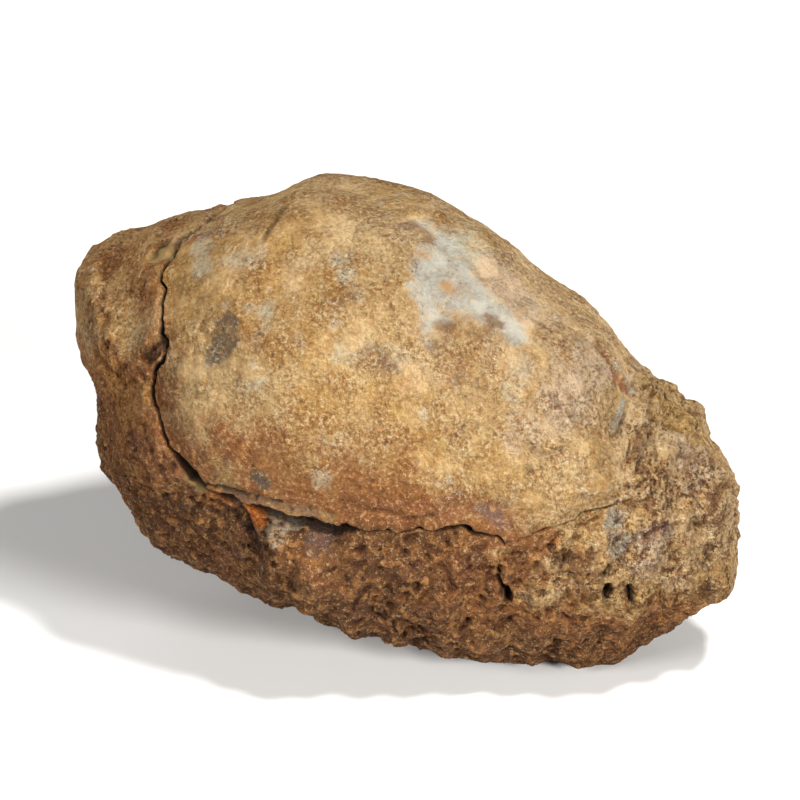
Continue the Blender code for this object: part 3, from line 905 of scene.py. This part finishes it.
# %% Where the stains are
STAINS = (  # name, colour, strength, radius in mm, stops
    ("gray spot", SLATE, 0.95, 1.5, ((-125, 35), (-124, 31))),
    ("gray spot's foot", SLATE, 0.9, 1.2, ((-122.7, 31.1), (-124.7, 28.2))),
    ("bloom, upper", BLOOM, 0.8, 1.7, ((-59, 89), (-14, 84), (-48, 74), (-46, 67), (-43, 61))),
    ("bloom, left", BLOOM, 0.8, 1.9, ((-69, 76), (-77, 66), (-76, 57))),
    ("bloom, middle", BLOOM, 0.75, 2.2, ((-64, 74), (-65, 64), (-50, 64))),
    ("bloom, high", BLOOM, 0.55, 1.5, ((10.4, 82.6), (-11.4, 76.7), (-21.4, 71.5))),
    ("cream beside the bloom", PALE_GREEN, 0.5, 1.9, ((43, 79), (8.3, 77.6), (-15.9, 71.7))),
    ("orange in the bloom", PINK, 0.3, 0.7, ((-66, 69), (-66, 68))),
    ("speck in the bloom", PINK, 0.25, 0.5, ((-77, 78), (-73, 77))),
    ("gray by the bloom", DUSK, 0.75, 0.5, ((-53, 62), (-50, 61))),
    ("brown below the bloom", BARK, 0.35, 2.6, ((-69, 52), (-64, 53))),
    ("pale by the crack", CREAM, 0.8, 1.1, ((-158.7, 46.3), (-152.6, 44.7), (-145, 43))),
    ("pale on the brow", CREAM, 0.7, 1.4, ((-140, 50), (-137.2, 53.5))),
    ("pale low", CREAM, 0.7, 1, ((-98, 7), (-98, 9))),
    ("crumbly ember", EMBER, 1, 1.3, ((-121.2, -1.5), (-119.3, -2.8), (-115.5, -3.8))),
    ("cream by the orange", ASH, 0.8, 1.2, ((-107.9, -6.4), (-106.6, -7.7))),
    ("gray-white beside it", ASH, 0.7, 0.8, ((-108, -4.2), (-102.9, -4.6))),
    ("plum below the lip", PLUM, 0.85, 1.3, ((-97, -4), (-98.7, -6.7))),
    ("crumb of orange", ORANGE, 1.2, 0.85, ((-112.2, -1.1), (-110.7, -3), (-110.5, -5.7))),
    ("gray above the lip", SLATE, 1.1, 0.75, ((-109.5, 4.5), (-108.6, 3.2))),
    ("blue-gray marks", TEAL, 0.9, 0.5, ((-76.4, 6.7), (-74, 9))),
    ("orange at the top", RUST, 0.9, 0.45, ((-162, 44), (-163.6, 45.6))),
    ("mauve at the top", MAUVE, 0.9, 0.6, ((-162.4, 47.5), (-161, 49))),
    ("reddish streak", RUST, 0.55, 0.5, ((-172, 48), (-176, 52.5))),
    ("olive facet", OLIVE, 1, 1.1, ((-161.9, 35.6), (-161, 39))),
    ("yellow by the crack", STRAW, 0.9, 0.7, ((-140.1, 14.4), (-138.9, 12.7))),
    ("red-brown by the crack", RUST, 0.6, 1.2, ((-131, 14), (-129.4, 11.6))),
    ("dusk at the front one", DUSK, 0.6, 0.9, ((-152.4, 17.3), (-152, 16))),
    ("dusk at the front two", DUSK, 0.5, 1.2, ((-150, 12), (-145.1, 11.4))),
    ("dusk at the front three", MAUVE, 0.5, 1.4, ((-139.4, 7.8), (-137, 7))),
    ("green in the crack", OLIVE, 0.9, 1, ((-126.4, 0.1), (-123.3, -0.7))),
    ("splinter", RUST, 0.95, 0.5, ((-138.2, 23.9), (-140, 21))),
    ("ledge", LEDGE_PINK, 0.8, 0.7, ((-116.3, -0.4), (-109, -0.2), (-99.3, -1.1))),
    ("yellow on the side", STRAW, 0.5, 1.6, ((-61.5, 32.5), (-65, 23), (-65, 18))),
    ("pale right one", ROSE_TAN, 0.7, 2.6, ((-43, 46), (-25, 52))),
    ("pale right two", ROSE_TAN, 0.7, 2.4, ((-57, 31), (-39, 42))),
    ("pale behind the bloom", ROSE_TAN, 0.6, 2.2, ((-6, 74), (-15, 64))),
    ("pale right three", CREAM, 0.6, 1.3, ((-59, 42), (-52, 49))),
    ("neck scar", RUST, 0.85, 0.5, ((-6.9, 55.4), (-11, 50), (-15, 47), (-8, 43.8))),
    ("flake over the scar", CREAM, 0.9, 0.4, ((-7, 50.3), (-6, 44))),
    ("bar in the neck", TEAL, 0.95, 0.45, ((-18, 43), (-23.2, 40.4), (-31.7, 35.7))),
    ("ochre at the end", STRAW, 0.6, 2, ((4, 41), (12, 36.7), (2, 34))),
    ("mauve on the ring", MAUVE, 0.4, 1.3, ((-5, 34), (-7, 31))),
    ("red on the rings", RUST, 0.35, 1.6, ((-6, 27), (-9, 22))),
    ("blue-gray one", TEAL, 1, 1.3, ((-32, 2), (-36.4, -0.3))),
    ("mauve-gray", MAUVE, 0.6, 1.2, ((-32, 4), (-34, 0))),
    ("gray below it", DUSK, 1.1, 1.1, ((-35.3, -3.5), (-38, -5))),
    ("teal patch one", TEAL, 1, 1, ((-42.2, -0.5), (-44, -2))),
    ("teal patch two", TEAL, 1, 1, ((-43.5, 4.8), (-45, 1))),
    ("dark at the tail one", BARK, 0.8, 0.9, ((-13, -12), (-14, -14))),
    ("dark at the tail two", BARK, 0.7, 0.8, ((-15, -3), (-16, -5))),
    ("dusk by the slit", DUSK, 0.5, 1.2, ((-53, -4), (-52, -5))),
    ("red margin of the shield", RUST, 0.6, 1.3, ((-94, 3), (-84.5, 3.1), (-75.2, 5.3),
     (-67.4, 3.8), (-65.3, -0.8), (-65.3, -2.5))),
    ("mauve over the gap", MAUVE, 0.45, 0.6, ((-71, 5), (-68.3, 4), (-66.4, 0.3))),
    ("brown patch on the ribs", BARK, 0.5, 1.7, ((-55.6, -2.3), (-53.1, -4.7), (-50, -7))),
    ("brown patch below it", BARK, 0.45, 1.5, ((-47, -13), (-55, -11))),
    ("rust on the ribs", RUST, 0.4, 2.2, ((-81.1, -6.5), (-75.8, -7.6), (-70.9, -9.7))),
    ("amber at the low front", AMBER_STAIN, 0.85, 3, ((-149, 13), (-141.4, 4.2))),
    ("rose on the rings", ROSE_TAN, 0.6, 2, ((-11, 29), (-12, 19))),
    ("rose below the holes", ROSE_TAN, 0.6, 2, ((-33, -3), (-26.5, -7.5))),
    ("rust at the end", RUST, 0.4, 1, ((-11, 16), (-14, 6))),
    ("ochre on the last ring", OCHRE_STAIN, 0.6, 1.5, ((-4.9, 37.6), (1.4, 29.5))),
    ("rust at the low front", RUST, 0.5, 1.6, ((-139, 4), (-130.3, 0.8))),
    ("dark in furrow one", PLUM, 0.9, 0.45, FURROW_ONE),
    ("dark in furrow two", PLUM, 0.8, 0.4, FURROW_TWO),
    ("dusk in the low front", PLUM, 0.6, 1.1, ((-121.9, -16.4), (-116, -21.4))),
    ("bark in the low pits", BARK, 0.7, 0.8, ((-107.5, -20.4), (-100.4, -17.8))),
    ("pale green one", PALE_GREEN, 0.6, 0.9, ((-120, 45), (-117, 39))),
    ("pale green two", PALE_GREEN, 0.6, 1.1, ((-111, 64), (-100, 58))),
    ("pale green three", PALE_GREEN, 0.55, 0.9, ((-111.7, 25.7), (-116, 23))),
    ("pale green four", PALE_GREEN, 0.55, 1.3, ((-86, 43), (-97.6, 39.8))),
    ("grains high on the shield", BARK, 0.4, 1.2, ((-106, 52), (-103, 54))),
    ("grains in the middle", BARK, 0.22, 1.3, ((-91.6, 43.8), (-87, 39))),
    ("grains at the crown", BARK, 0.25, 1.2, ((-112, 86), (-66, 85))),
    ("grains on the right", BARK, 0.35, 1.6, ((-69, 41), (-68, 36))),
    ("green at the tail", OLIVE, 0.5, 1.2, ((-19, 1), (-21, -1))),
)
print(f"{len(STAINS)} stains have a place of their own")

# %% Painting the stains
LOOSE_STAINS, LOOSE_SEED = 70, 31  # faint ones that lie anywhere, under the stains above
LOOSE_STRENGTH, LOOSE_RADIUS, LOOSE_SPREAD = (0.1, 0.3), (0.7, 2.2), 1.2
REACH, SOFT_REACH = (1.45, 0.45), (1.9, 0.1)  # in radii: where a stain ends and where it is full
RAGGED_EDGE = 0.35  # in radii


def loose_stains():
    rng = np.random.default_rng(LOOSE_SEED)
    for _ in range(LOOSE_STAINS):
        start = SMOOTH[rng.integers(len(SMOOTH))]
        end = start + rng.normal(size=3) * LOOSE_SPREAD
        colour = LOOSE_COLOURS[rng.integers(len(LOOSE_COLOURS))]
        yield colour, rng.uniform(*LOOSE_STRENGTH), rng.uniform(*LOOSE_RADIUS), (start, end)


def painted():
    """Colour and amount of the stains at every vertex, and how calm the surface is there."""
    colour = np.tile(np.array(STRAW), (len(SMOOTH), 1))
    amount, calm = np.zeros(len(SMOOTH)), np.zeros(len(SMOOTH))
    named = [(*stain[1:4], lump_point(*np.transpose(stain[4]))) for stain in STAINS]
    for tint, strength, radius, path in [*loose_stains(), *named]:
        distance = distance_to_path(path) + RAGGED_EDGE * radius * RAGGED
        outer, inner = SOFT_REACH if tint in FADING_COLOURS else REACH
        share = strength * smooth_step(outer * radius, inner * radius, distance)
        taken = np.maximum(share, share > 0.02) * smooth_step(0.0, 0.3, share)
        colour += (np.array(tint) - colour) * taken[:, None]
        amount += share * (1.0 - amount)
        if tint in CALM_COLOURS:
            calm = np.maximum(calm, share)
    return colour, amount, calm


STAIN, AMOUNT, CALM = painted()
print(f"{(AMOUNT > 0.5).mean():.0%} of the vertices are well stained")

# %% [markdown]
# ## Where the stone is brown, and painted shade at its foot
# Below the seam the stone is a deep brown, and darkest at its foot. That darkening towards the
# bottom is partly the stone's own brown and partly painted shade. A brown hem runs along the
# shield's edge and up the brow, while the crown and the thorax end are pale. These zones are
# wide and blurred, so they aren't painted as stains: each is a smooth step over a height or a
# distance, and noise makes its edge wander. Their sum is one number at each vertex.

# %% Brown zones
CLOUDY = 9.0  # mm by which the zones' edges wander
BROWN_LEVELS = (9.0, -3.0)  # mm above the seam, from where the brown grows downwards and where it is full: partly brown stone, partly painted shade
BROWN_EDGE_FROM, BROWN_EDGE_TO = (-98.0, -92.0), (-58.0, -66.0)  # degrees round the lump
PALE_CROWN, BROWN_BROW = (8.0, 20.0), (16.0, 6.0)  # mm above the seam
PALE_REAR = (11.0, 24.0)  # along x, where the stone turns pale again towards the thorax end


def brown_and_low_shade_zones():
    """How brown the stone is, with painted shade towards the foot: below 0 it is paler than tan,
    and above 1 it is a deep brown.
    """
    low = smooth_step(*BROWN_LEVELS, LEVEL + CLOUDY * BROAD)
    rear = smooth_step(*PALE_REAR, SMOOTH[:, 0] + CLOUDY * BROAD + CLOUDY * PATCHY)
    rear = rear * smooth_step(-17.0, -8.0, LEVEL)
    under_seam = smooth_step(1.6, -1.6, ACROSS) * (0.35 + 0.5 * low) * (1.0 - 0.85 * rear)
    # darker towards the foot: partly the stone's brown, partly painted shade
    foot = 0.8 * smooth_step(-5.0, -14.0, LEVEL) * (1.0 - 0.5 * rear)
    stretch = smooth_step(*BROWN_EDGE_FROM, TURN_NOW) * smooth_step(*BROWN_EDGE_TO, TURN_NOW)
    edge = bump(ACROSS, 0.5, 4.0 + stretch) * (0.4 + 0.6 * low)
    hem = (0.5 + 0.4 * stretch) * edge * (1.0 - rear)
    brow = 0.6 * smooth_step(*BROWN_BROW, LEVEL) * smooth_step(12.0, -2.0, SMOOTH[:, 0])
    crown = 0.38 * smooth_step(*PALE_CROWN, LEVEL) * smooth_step(-12.0, 8.0, SMOOTH[:, 0])
    thorax_end = 0.6 * rear * smooth_step(-12.0, -2.0, LEVEL)
    zones = under_seam + foot + hem + brow - crown - thorax_end
    zones = np.clip(zones + 0.45 * BROAD + 0.3 * PATCHY, -1.0, 1.6)
    return zones * (1.0 - 0.7 * LEDGE)


BROWN_AND_LOW_SHADE = brown_and_low_shade_zones()
print(f"{(BROWN_AND_LOW_SHADE > 0.5).mean():.0%} of the vertices are brown")

# %% [markdown]
# ## Masks on the vertices
# A material can't know where the seam runs or how deep a crumb lies, but it can read numbers
# that the mesh stores. "stain" and "stained" are the painted colour and its amount, "crumbly" and
# "brown" are the zones, "sunken" is the depth between crumbs, "calm" marks smooth shell, and
# "hollow" marks the inside of the crack and of the deep marks. The material paints shade by
# "sunken" and "hollow", and the brown zones carry painted shade at the foot.

# %% Store the masks


def store(mesh, name, kind, values):
    attribute = mesh.attributes.new(name, kind, "POINT")
    key = "color" if kind == "FLOAT_COLOR" else "value"
    attribute.data.foreach_set(key, np.ascontiguousarray(values, dtype=np.float32).ravel())


DEEPEST = 0.4  # mm below the middle of the crumbs, where the painted shade is darkest
open_crack = smooth_step(0.0, 0.4, at_turn(SEAM[:, 4]))
# the open crack's inside gets painted shadow, a little less where it gapes
crack_shadow = (1.0 - 0.3 * GAPE) * smooth_step(0.12, 0.6, -CRACK) * open_crack
store(stone_mesh, "stain", "FLOAT_COLOR", np.column_stack([STAIN, np.ones(len(STAIN))]))
for name, values in {
    "stained": AMOUNT,
    "crumbly": CRUMBLE,
    # sunken: the depth between crumbs, by which the material paints shade in the hollows and
    # highlights on the raised crumbs
    "sunken": np.clip(-FINE_RELIEF / DEEPEST, -1.0, 1.0),
    # brown zones, darker towards the foot partly as painted shade
    "brown": BROWN_AND_LOW_SHADE,
    "calm": np.clip(CALM + 0.4 * LEDGE, 0.0, 1.0),
    "hollow": np.maximum(crack_shadow, HOLLOW),
# painted shadow inside the crack and inside the deep marks and dark lines
}.items():
    store(stone_mesh, name, "FLOAT", values)
print(f"{(crack_shadow > 0.5).sum()} vertices are dark in the crack")

# %% [markdown]
# ## The stone's material
# Weathered stone is matt. Its colour changes on every scale: cloudy areas of tan and ochre,
# blotches of brown, and a fine salt and pepper of grains and pits, partly the grains' own colour
# and partly painted shade in the pits and painted highlights on the grains. The material stacks
# these as noise textures of falling size. The masks say where each shows: grit where the stone
# is crumbly or brown, hardly any on calm shell, painted shade where it is sunken, and near-black
# painted shadow where it is hollow. The bump takes the same grains, so that what is darker also
# lies deeper.

# %% Helpers that add shader nodes
MILLIMETRES = 1000.0  # in a metre


class Shader:
    """A material's node tree, with one short call for each kind of node."""

    def __init__(self, name):
        self.material = bpy.data.materials.get(name) or bpy.data.materials.new(name)
        self.material.use_nodes = True
        self.tree = self.material.node_tree
        self.surface = self.tree.nodes["Principled BSDF"]
        place = self.tree.nodes.new("ShaderNodeTexCoord")
        self.place = self.add("ShaderNodeVectorMath", {0: place.outputs["Object"],
                                                       1: (MILLIMETRES,) * 3},
                              operation="MULTIPLY")

    def add(self, kind, inputs=None, **settings):
        return add_node(self.tree, kind, inputs, **settings)

    def set(self, name, value):
        fill(self.tree, self.surface.inputs[name], value)

    def noise(self, size, detail, roughness, shift=(0.0, 0.0, 0.0)):
        """Noise with features of this size in mm."""
        place = self.add("ShaderNodeVectorMath", {0: self.place, 1: shift}, operation="ADD")
        return self.add("ShaderNodeTexNoise", {"Vector": place, "Scale": 1.0 / size,
                                               "Detail": detail, "Roughness": roughness})

    def cells(self, size, shake):
        """Cells of this size in mm, whose joints are bent by a noise."""
        bent = self.add("ShaderNodeVectorMath", {0: shake.outputs["Color"], 1: (size,) * 3},
                        operation="MULTIPLY")
        place = self.add("ShaderNodeVectorMath", {0: self.place, 1: bent}, operation="ADD")
        return self.add("ShaderNodeTexVoronoi", {"Vector": place, "Scale": 1.0 / size})

    def ramp(self, value, low, high, to_low=0.0, to_high=1.0):
        """A smooth step, from to_low where the value is low to to_high where it is high."""
        return self.add("ShaderNodeMapRange", {"Value": value, "From Min": low, "From Max": high,
                                               "To Min": to_low, "To Max": to_high},
                        interpolation_type="SMOOTHSTEP")

    def math(self, operation, a, b):
        return self.add("ShaderNodeMath", {0: a, 1: b}, operation=operation)

    def plus(self, a, b):
        return self.math("ADD", a, b)

    def minus(self, a, b):
        return self.math("SUBTRACT", a, b)

    def times(self, a, b):
        return self.math("MULTIPLY", a, b)

    def mix(self, share, a, b, blend="MIX"):
        return self.add("ShaderNodeMix", {"Factor": share, 6: a, 7: b},
                        data_type="RGBA", blend_type=blend).outputs[2]

    def tint(self, base, value, low, high, most, colour):
        """Lays a colour over the base: none of it where the value is low, most where it is high."""
        return self.mix(self.ramp(value, low, high, 0.0, most), base, colour)

    def stored(self, name, output="Fac"):
        """An attribute that the mesh stores at its vertices."""
        return self.add("ShaderNodeAttribute", attribute_name=name).outputs[output]


def colour(red, green, blue):
    return (red, green, blue, 1.0)


print("helper made: Shader, which measures its noise in mm")

# %% The colours of the stone
LIGHT_TAN, TAN = colour(0.66, 0.50, 0.28), colour(0.56, 0.365, 0.155)
OCHRE, EMBER_GRAIN = colour(0.48, 0.27, 0.08), colour(0.60, 0.26, 0.070)
BROWN, RED_BROWN = colour(0.31, 0.118, 0.032), colour(0.31, 0.094, 0.022)
LICHEN_GRAY, YELLOW = colour(0.58, 0.53, 0.40), colour(0.66, 0.43, 0.11)
# DEEP_BROWN_AND_SHADE is partly the stone's deep brown and partly painted shade at the foot
BURNT, DEEP_BROWN_AND_SHADE = colour(0.38, 0.18, 0.05), colour(0.075, 0.028, 0.010)
# SHADOW_BROWN is painted shade between the grains, and the pale and sandy grain colours are painted
# highlights on their tips
SHADOW_BROWN, AMBER = colour(0.21, 0.080, 0.020), colour(0.55, 0.25, 0.055)
PALE_GRAIN_HIGHLIGHT, SANDY_GRAIN_HIGHLIGHT = colour(0.86, 0.70, 0.43), colour(0.72, 0.45, 0.20)
# GOLDEN_GRAIN and EMBER_GRAIN are the crumbs' own colours, also laid on raised crumbs as a painted
# highlight
GOLDEN_GRAIN, PALE_BUFF = colour(0.72, 0.42, 0.15), colour(0.74, 0.54, 0.31)
# PAINTED_HOLLOW_SHADE is painted shade in the hollows between crumbs, multiplied into the colour
PAINTED_HOLLOW_SHADE = colour(0.44, 0.29, 0.20)  # what the hollows between crumbs leave of a colour
# PIT_SHADE is painted shade in the pits, and PAINTED_CRACK_SHADOW is painted shadow inside the
# crack and the deep marks
PIT_SHADE, PAINTED_CRACK_SHADOW = colour(0.085, 0.032, 0.010), colour(0.010, 0.006, 0.004)
BUMP_HEIGHT = 0.0033  # metres
print(f"tan is {TAN[:3]}, brown is {BROWN[:3]}")

# %% The material itself


def stone_material():
    s = Shader("weathered_stone")
    # brown: the brown zones, which carry painted shade at the foot
    crumbly, brown = s.stored("crumbly"), s.stored("brown")
    rough_shell = s.minus(1.0, s.stored("calm"))
    clouds = s.noise(9.0, 5.0, 0.6)
    patches = s.noise(3.4, 7.0, 0.68, shift=(13.0, 5.0, 2.0))
    spots = s.noise(2.6, 7.0, 0.66, shift=(41.0, 3.0, 17.0))
    mottles = s.noise(1.2, 6.0, 0.70, shift=(3.0, 31.0, 7.0))
    grit = s.noise(0.55, 5.0, 0.80, shift=(0.0, 7.0, 19.0))
    speckle = s.noise(0.40, 3.0, 0.80, shift=(9.0, 0.0, 23.0))
    grain = s.cells(0.40, shake=s.noise(0.6, 3.0, 0.65))
    crumbs = s.cells(0.62, shake=s.noise(0.8, 4.0, 0.7))
    # how gritty the surface is here, from almost nothing on smooth shell to all of it
    gritty = s.plus(s.ramp(patches, 0.42, 0.60, 0.35, 0.95), s.times(crumbly, 0.4))
    gritty = s.plus(gritty, s.ramp(brown, 0.1, 0.8, 0.0, 0.35))
    gritty = s.times(s.math("MINIMUM", gritty, 1.0), rough_shell)
    # cloudy tan, ochre and brown
    base = s.mix(s.ramp(clouds, 0.38, 0.60), OCHRE, TAN)
    base = s.tint(base, patches, 0.47, 0.28, 0.35, LIGHT_TAN)
    base = s.tint(base, spots, 0.56, 0.70, 0.55, LICHEN_GRAY)
    base = s.tint(base, spots, 0.44, 0.30, 0.5, YELLOW)
    base = s.tint(base, patches, 0.53, 0.68, 0.75, BURNT)
    base = s.tint(base, s.plus(brown, s.minus(spots, 0.5)), 0.0, -0.7, 0.5, PALE_BUFF)
    dark = s.mix(s.ramp(patches, 0.38, 0.62), BROWN, RED_BROWN)
    wavering = s.times(s.minus(mottles, 0.5), 1.4)
    share = s.ramp(s.plus(brown, wavering), 0.1, 0.95, 0.0, 0.95)
    base = s.mix(share, base, dark)
    # deep brown where the mask is highest, mostly at the foot: partly the stone's colour, partly
    # painted shade
    base = s.tint(base, s.plus(brown, wavering), 0.9, 1.7, 0.85, DEEP_BROWN_AND_SHADE)
    base = s.tint(base, mottles, 0.50, 0.32, 0.42, BROWN)
    # the depth between crumbs and a fine noise: where it is high the colour gets painted shade,
    # where it is low a painted highlight
    sunken = s.plus(s.stored("sunken"),
                    s.minus(0.5, s.noise(0.42, 4.0, 0.8, shift=(2.0, 11.0, 5.0))))
    # the crumbs' own colour, which is also laid on the raised crumbs as a painted highlight
    crumb_colour_and_highlight = s.mix(share, GOLDEN_GRAIN, EMBER_GRAIN)
    base = s.tint(base, sunken, -0.1, -0.6, 0.5, crumb_colour_and_highlight)
    # stains with ragged edges
    torn = s.times(s.minus(s.noise(1.8, 7.0, 0.72), 0.5), 2.0)
    spread = s.plus(s.stored("stained"), torn)
    base = s.mix(s.ramp(spread, 0.2, 0.95, 0.0, 0.9), base, s.stored("stain", "Color"))
    # speckle: painted shade in shadowed brown between the grains, and painted highlights as pale
    # tips on them
    painted_grain_shade = s.times(s.ramp(speckle, 0.50, 0.41, 0.0, 0.8), gritty)
    base = s.mix(painted_grain_shade, base, SHADOW_BROWN)
    painted_grain_highlight = s.times(s.ramp(speckle, 0.54, 0.63, 0.0, 0.6), gritty)
    base = s.mix(painted_grain_highlight, base, s.mix(share, PALE_GRAIN_HIGHLIGHT, SANDY_GRAIN_HIGHLIGHT))
    amber = s.times(s.ramp(grain.outputs["Color"], 0.34, 0.12, 0.0, 0.4), gritty)
    base = s.mix(amber, base, AMBER)
    crumb_tint = s.times(s.ramp(crumbs.outputs["Color"], 0.62, 0.95, 0.0, 0.6), crumbly)
    base = s.mix(crumb_tint, base, crumb_colour_and_highlight)
    depth = s.minus(grit, s.times(gritty, 0.055))
    depth = s.minus(depth, s.times(crumbly, s.ramp(patches, 0.42, 0.62, 0.0, 0.07)))
    # painted shade in the hollows between crumbs, multiplied into the colour
    base = s.mix(s.ramp(sunken, 0.05, 0.85, 0.0, 0.7), base, PAINTED_HOLLOW_SHADE, "MULTIPLY")
    # painted shade: near-black pits where the grit noise, which also lowers the bump, is deepest
    pitted = s.times(s.ramp(depth, 0.385, 0.325), s.ramp(crumbly, 0.2, 0.9, 0.6, 0.9))
    base = s.mix(pitted, base, PIT_SHADE)
    # near-black painted shadow inside the crack and the deep marks
    base = s.mix(s.stored("hollow"), base, PAINTED_CRACK_SHADOW)
    s.set("Base Color", base)
    # relief too fine for the mesh, lower where the shell is smooth
    height = s.plus(s.times(grit, 0.9), s.times(mottles, 0.7))
    height = s.plus(height, s.times(speckle, 0.75))
    rounded = s.times(crumbs.outputs["Distance"], s.times(crumbly, 0.55))
    height = s.minus(height, rounded)
    height = s.times(height, s.plus(s.times(gritty, 0.85), 0.15))
    height = s.times(height, s.ramp(crumbly, 0.2, 0.9, 1.0, 1.35))
    s.set("Normal", s.add("ShaderNodeBump", {"Height": height, "Strength": 1.0,
                                             "Distance": BUMP_HEIGHT}))
    s.set("Roughness", s.ramp(mottles, 0.2, 0.8, 0.78, 0.95))
    s.set("Specular IOR Level", 0.2)


stone_material()
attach(stone, "root")
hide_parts(NODE)
print(f"weathered stone: {len(STONE_FINISH.node_tree.nodes)} nodes")

# %% [markdown]
# ## Loose grains
# Where the stone is crumbly, single grains stand out of it. They follow the surface and there
# are thousands, so a Geometry Nodes tree scatters them: more where the stone is crumblier, each
# one turned and squashed by chance, and each sunk into the surface. Every grain has 20 faces.
# The points that carry them take the stains and masks of the place where they sit, so that a
# grain in a rusty spot is rusty.

# %% Grains scattered by Geometry Nodes
GRAINS_PER_CM2 = 175.0  # where the stone is at its most crumbly
GRAIN_RADIUS, GRAIN_SINK = (0.09, 0.21), 0.07
GRAIN_SQUASH = (0.55, 1.25)
GRAIN_CRUMBLE = (0.25, 0.95)  # no grains below the first value, the full number from the second
GRAIN_SEED = 5
GRAIN_FACES = 20
SQUARE_CM = 1e-4  # in square metres


def grain_tree():
    tree, given = new_tree("scattered_grains", {
        "Geometry": "Geometry", "Density": "Float", "Smallest": "Float", "Largest": "Float",
        "Sink": "Float", "Seed": "Int"})

    def node(kind, inputs, **settings):
        return add_node(tree, kind, inputs, **settings)

    crumbly = node("GeometryNodeInputNamedAttribute", {"Name": "crumbly"}, data_type="FLOAT")
    share = node("ShaderNodeMapRange", {"Value": crumbly, "From Min": GRAIN_CRUMBLE[0],
                                        "From Max": GRAIN_CRUMBLE[1]})
    density = node("ShaderNodeMath", {0: share, 1: given["Density"]}, operation="MULTIPLY")
    points = node("GeometryNodeDistributePointsOnFaces",
                  {"Mesh": given["Geometry"], "Density": density, "Seed": given["Seed"]})
    down = node("ShaderNodeVectorMath", {0: points.outputs["Normal"], "Scale": given["Sink"]},
                operation="SCALE")
    sunk = node("GeometryNodeSetPosition", {"Geometry": points, "Offset": down})
    grain = node("GeometryNodeMeshIcoSphere", {"Radius": 1.0, "Subdivisions": 1})
    size = node("FunctionNodeRandomValue", {2: given["Smallest"], 3: given["Largest"],
                                            "Seed": given["Seed"]}, data_type="FLOAT")
    squash = node("FunctionNodeRandomValue", {0: (GRAIN_SQUASH[0],) * 3, 1: (GRAIN_SQUASH[1],) * 3},
                  data_type="FLOAT_VECTOR")
    scale = node("ShaderNodeVectorMath", {0: squash, "Scale": size.outputs[1]}, operation="SCALE")
    turn = node("FunctionNodeRandomValue", {0: (0.0,) * 3, 1: (2.0 * math.pi,) * 3},
                data_type="FLOAT_VECTOR")
    placed = node("GeometryNodeInstanceOnPoints",
                  {"Points": sunk, "Instance": grain, "Rotation": turn, "Scale": scale})
    finish_tree(tree, placed)
    return tree


grain_mesh = made_by(grain_tree(), stone_mesh.copy(), {
    "Density": GRAINS_PER_CM2 / SQUARE_CM, "Smallest": GRAIN_RADIUS[0] * MM,
    "Largest": GRAIN_RADIUS[1] * MM, "Sink": -GRAIN_SINK * MM, "Seed": GRAIN_SEED})
place_vertices(grain_mesh, squeezed(vertex_array(grain_mesh) / MM) * MM)
grains = new_object("loose_grains", grain_mesh)
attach(grains, "root")
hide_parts(NODE)
print(f"{len(grain_mesh.polygons) // GRAIN_FACES} grains")

# %% [markdown]
# ## The studio
# The lump lies on a pale floor under soft light, seen from in front and above with a long lens,
# which keeps its proportions as they are. The key light is small, so that the crumbs cast clear
# shadows. The view transform is Standard, which shows the browns as they were mixed.

# %% The floor
FLOOR_SIZE, FLOOR_PAINT = 3.0, (0.62, 0.61, 0.59, 1.0)


def add_floor():
    half = FLOOR_SIZE / 2
    mesh = bpy.data.meshes.new("floor")
    corners = [(-half, -half, 0), (half, -half, 0), (half, half, 0), (-half, half, 0)]
    mesh.from_pydata(corners, [], [(0, 1, 2, 3)])
    paint = Shader("pale_floor")
    paint.set("Base Color", FLOOR_PAINT)
    paint.set("Roughness", 0.9)
    mesh.materials.append(paint.material)
    new_object("floor", mesh)


add_floor()
print(f"the floor is {FLOOR_SIZE} m wide")

# %% Lights and sky
AIM = Vector((-0.00054, -0.00067, 0.02166))
LIGHTS = (  # name, place, diameter, watts
    ("key", (0.16, -0.04, 0.46), 0.06, 3.1),
    ("right fill", (0.46, -0.22, 0.18), 0.12, 5.2),
    ("front fill", (-0.28, -0.38, 0.24), 0.20, 2.8),
    ("back rim", (-0.20, 0.40, 0.30), 0.30, 0.4),
)
SKY_STRENGTH, WHITE = 0.10, (1.0, 1.0, 1.0, 1.0)


def facing(way):
    """The turn that points a light or a camera this way."""
    return way.to_track_quat("-Z", "Y").to_euler()


def add_light(name, place, diameter, watts):
    data = bpy.data.lights.new(name, "AREA")
    data.shape = "DISK"
    data.size = diameter
    data.energy = watts
    item = new_object(name, data)
    item.location = place
    item.rotation_euler = facing(AIM - Vector(place))


def add_world():
    world = bpy.data.worlds.new("studio")
    world.use_nodes = True
    sky = world.node_tree.nodes["Background"]
    sky.inputs["Color"].default_value = WHITE
    sky.inputs["Strength"].default_value = SKY_STRENGTH
    bpy.context.scene.world = world


for light in LIGHTS:
    add_light(*light)
add_world()
print(f"{len(LIGHTS)} lights")

# %% The camera
AZIMUTH, ELEVATION, CAMERA_DISTANCE = math.radians(16.0), math.radians(31.0), 0.52
SENSOR, LENS = 36.0, 245.7
SHIFT_X, SHIFT_Y = -5 / 800, 25 / 800  # of the picture's width
NEAR_CLIP = 0.01


def add_camera():
    data = bpy.data.cameras.new("camera")
    data.sensor_width = SENSOR
    data.lens = LENS
    data.shift_x, data.shift_y = SHIFT_X, SHIFT_Y
    data.clip_start = NEAR_CLIP
    camera = new_object("camera", data)
    flat = math.cos(ELEVATION)
    back = Vector((math.sin(AZIMUTH) * flat, -math.cos(AZIMUTH) * flat, math.sin(ELEVATION)))
    camera.location = AIM + back * CAMERA_DISTANCE
    camera.rotation_euler = facing(-back)
    bpy.context.scene.camera = camera


add_camera()
bpy.context.scene.view_settings.view_transform = "Standard"
print(f"the camera stands {CAMERA_DISTANCE} m away")
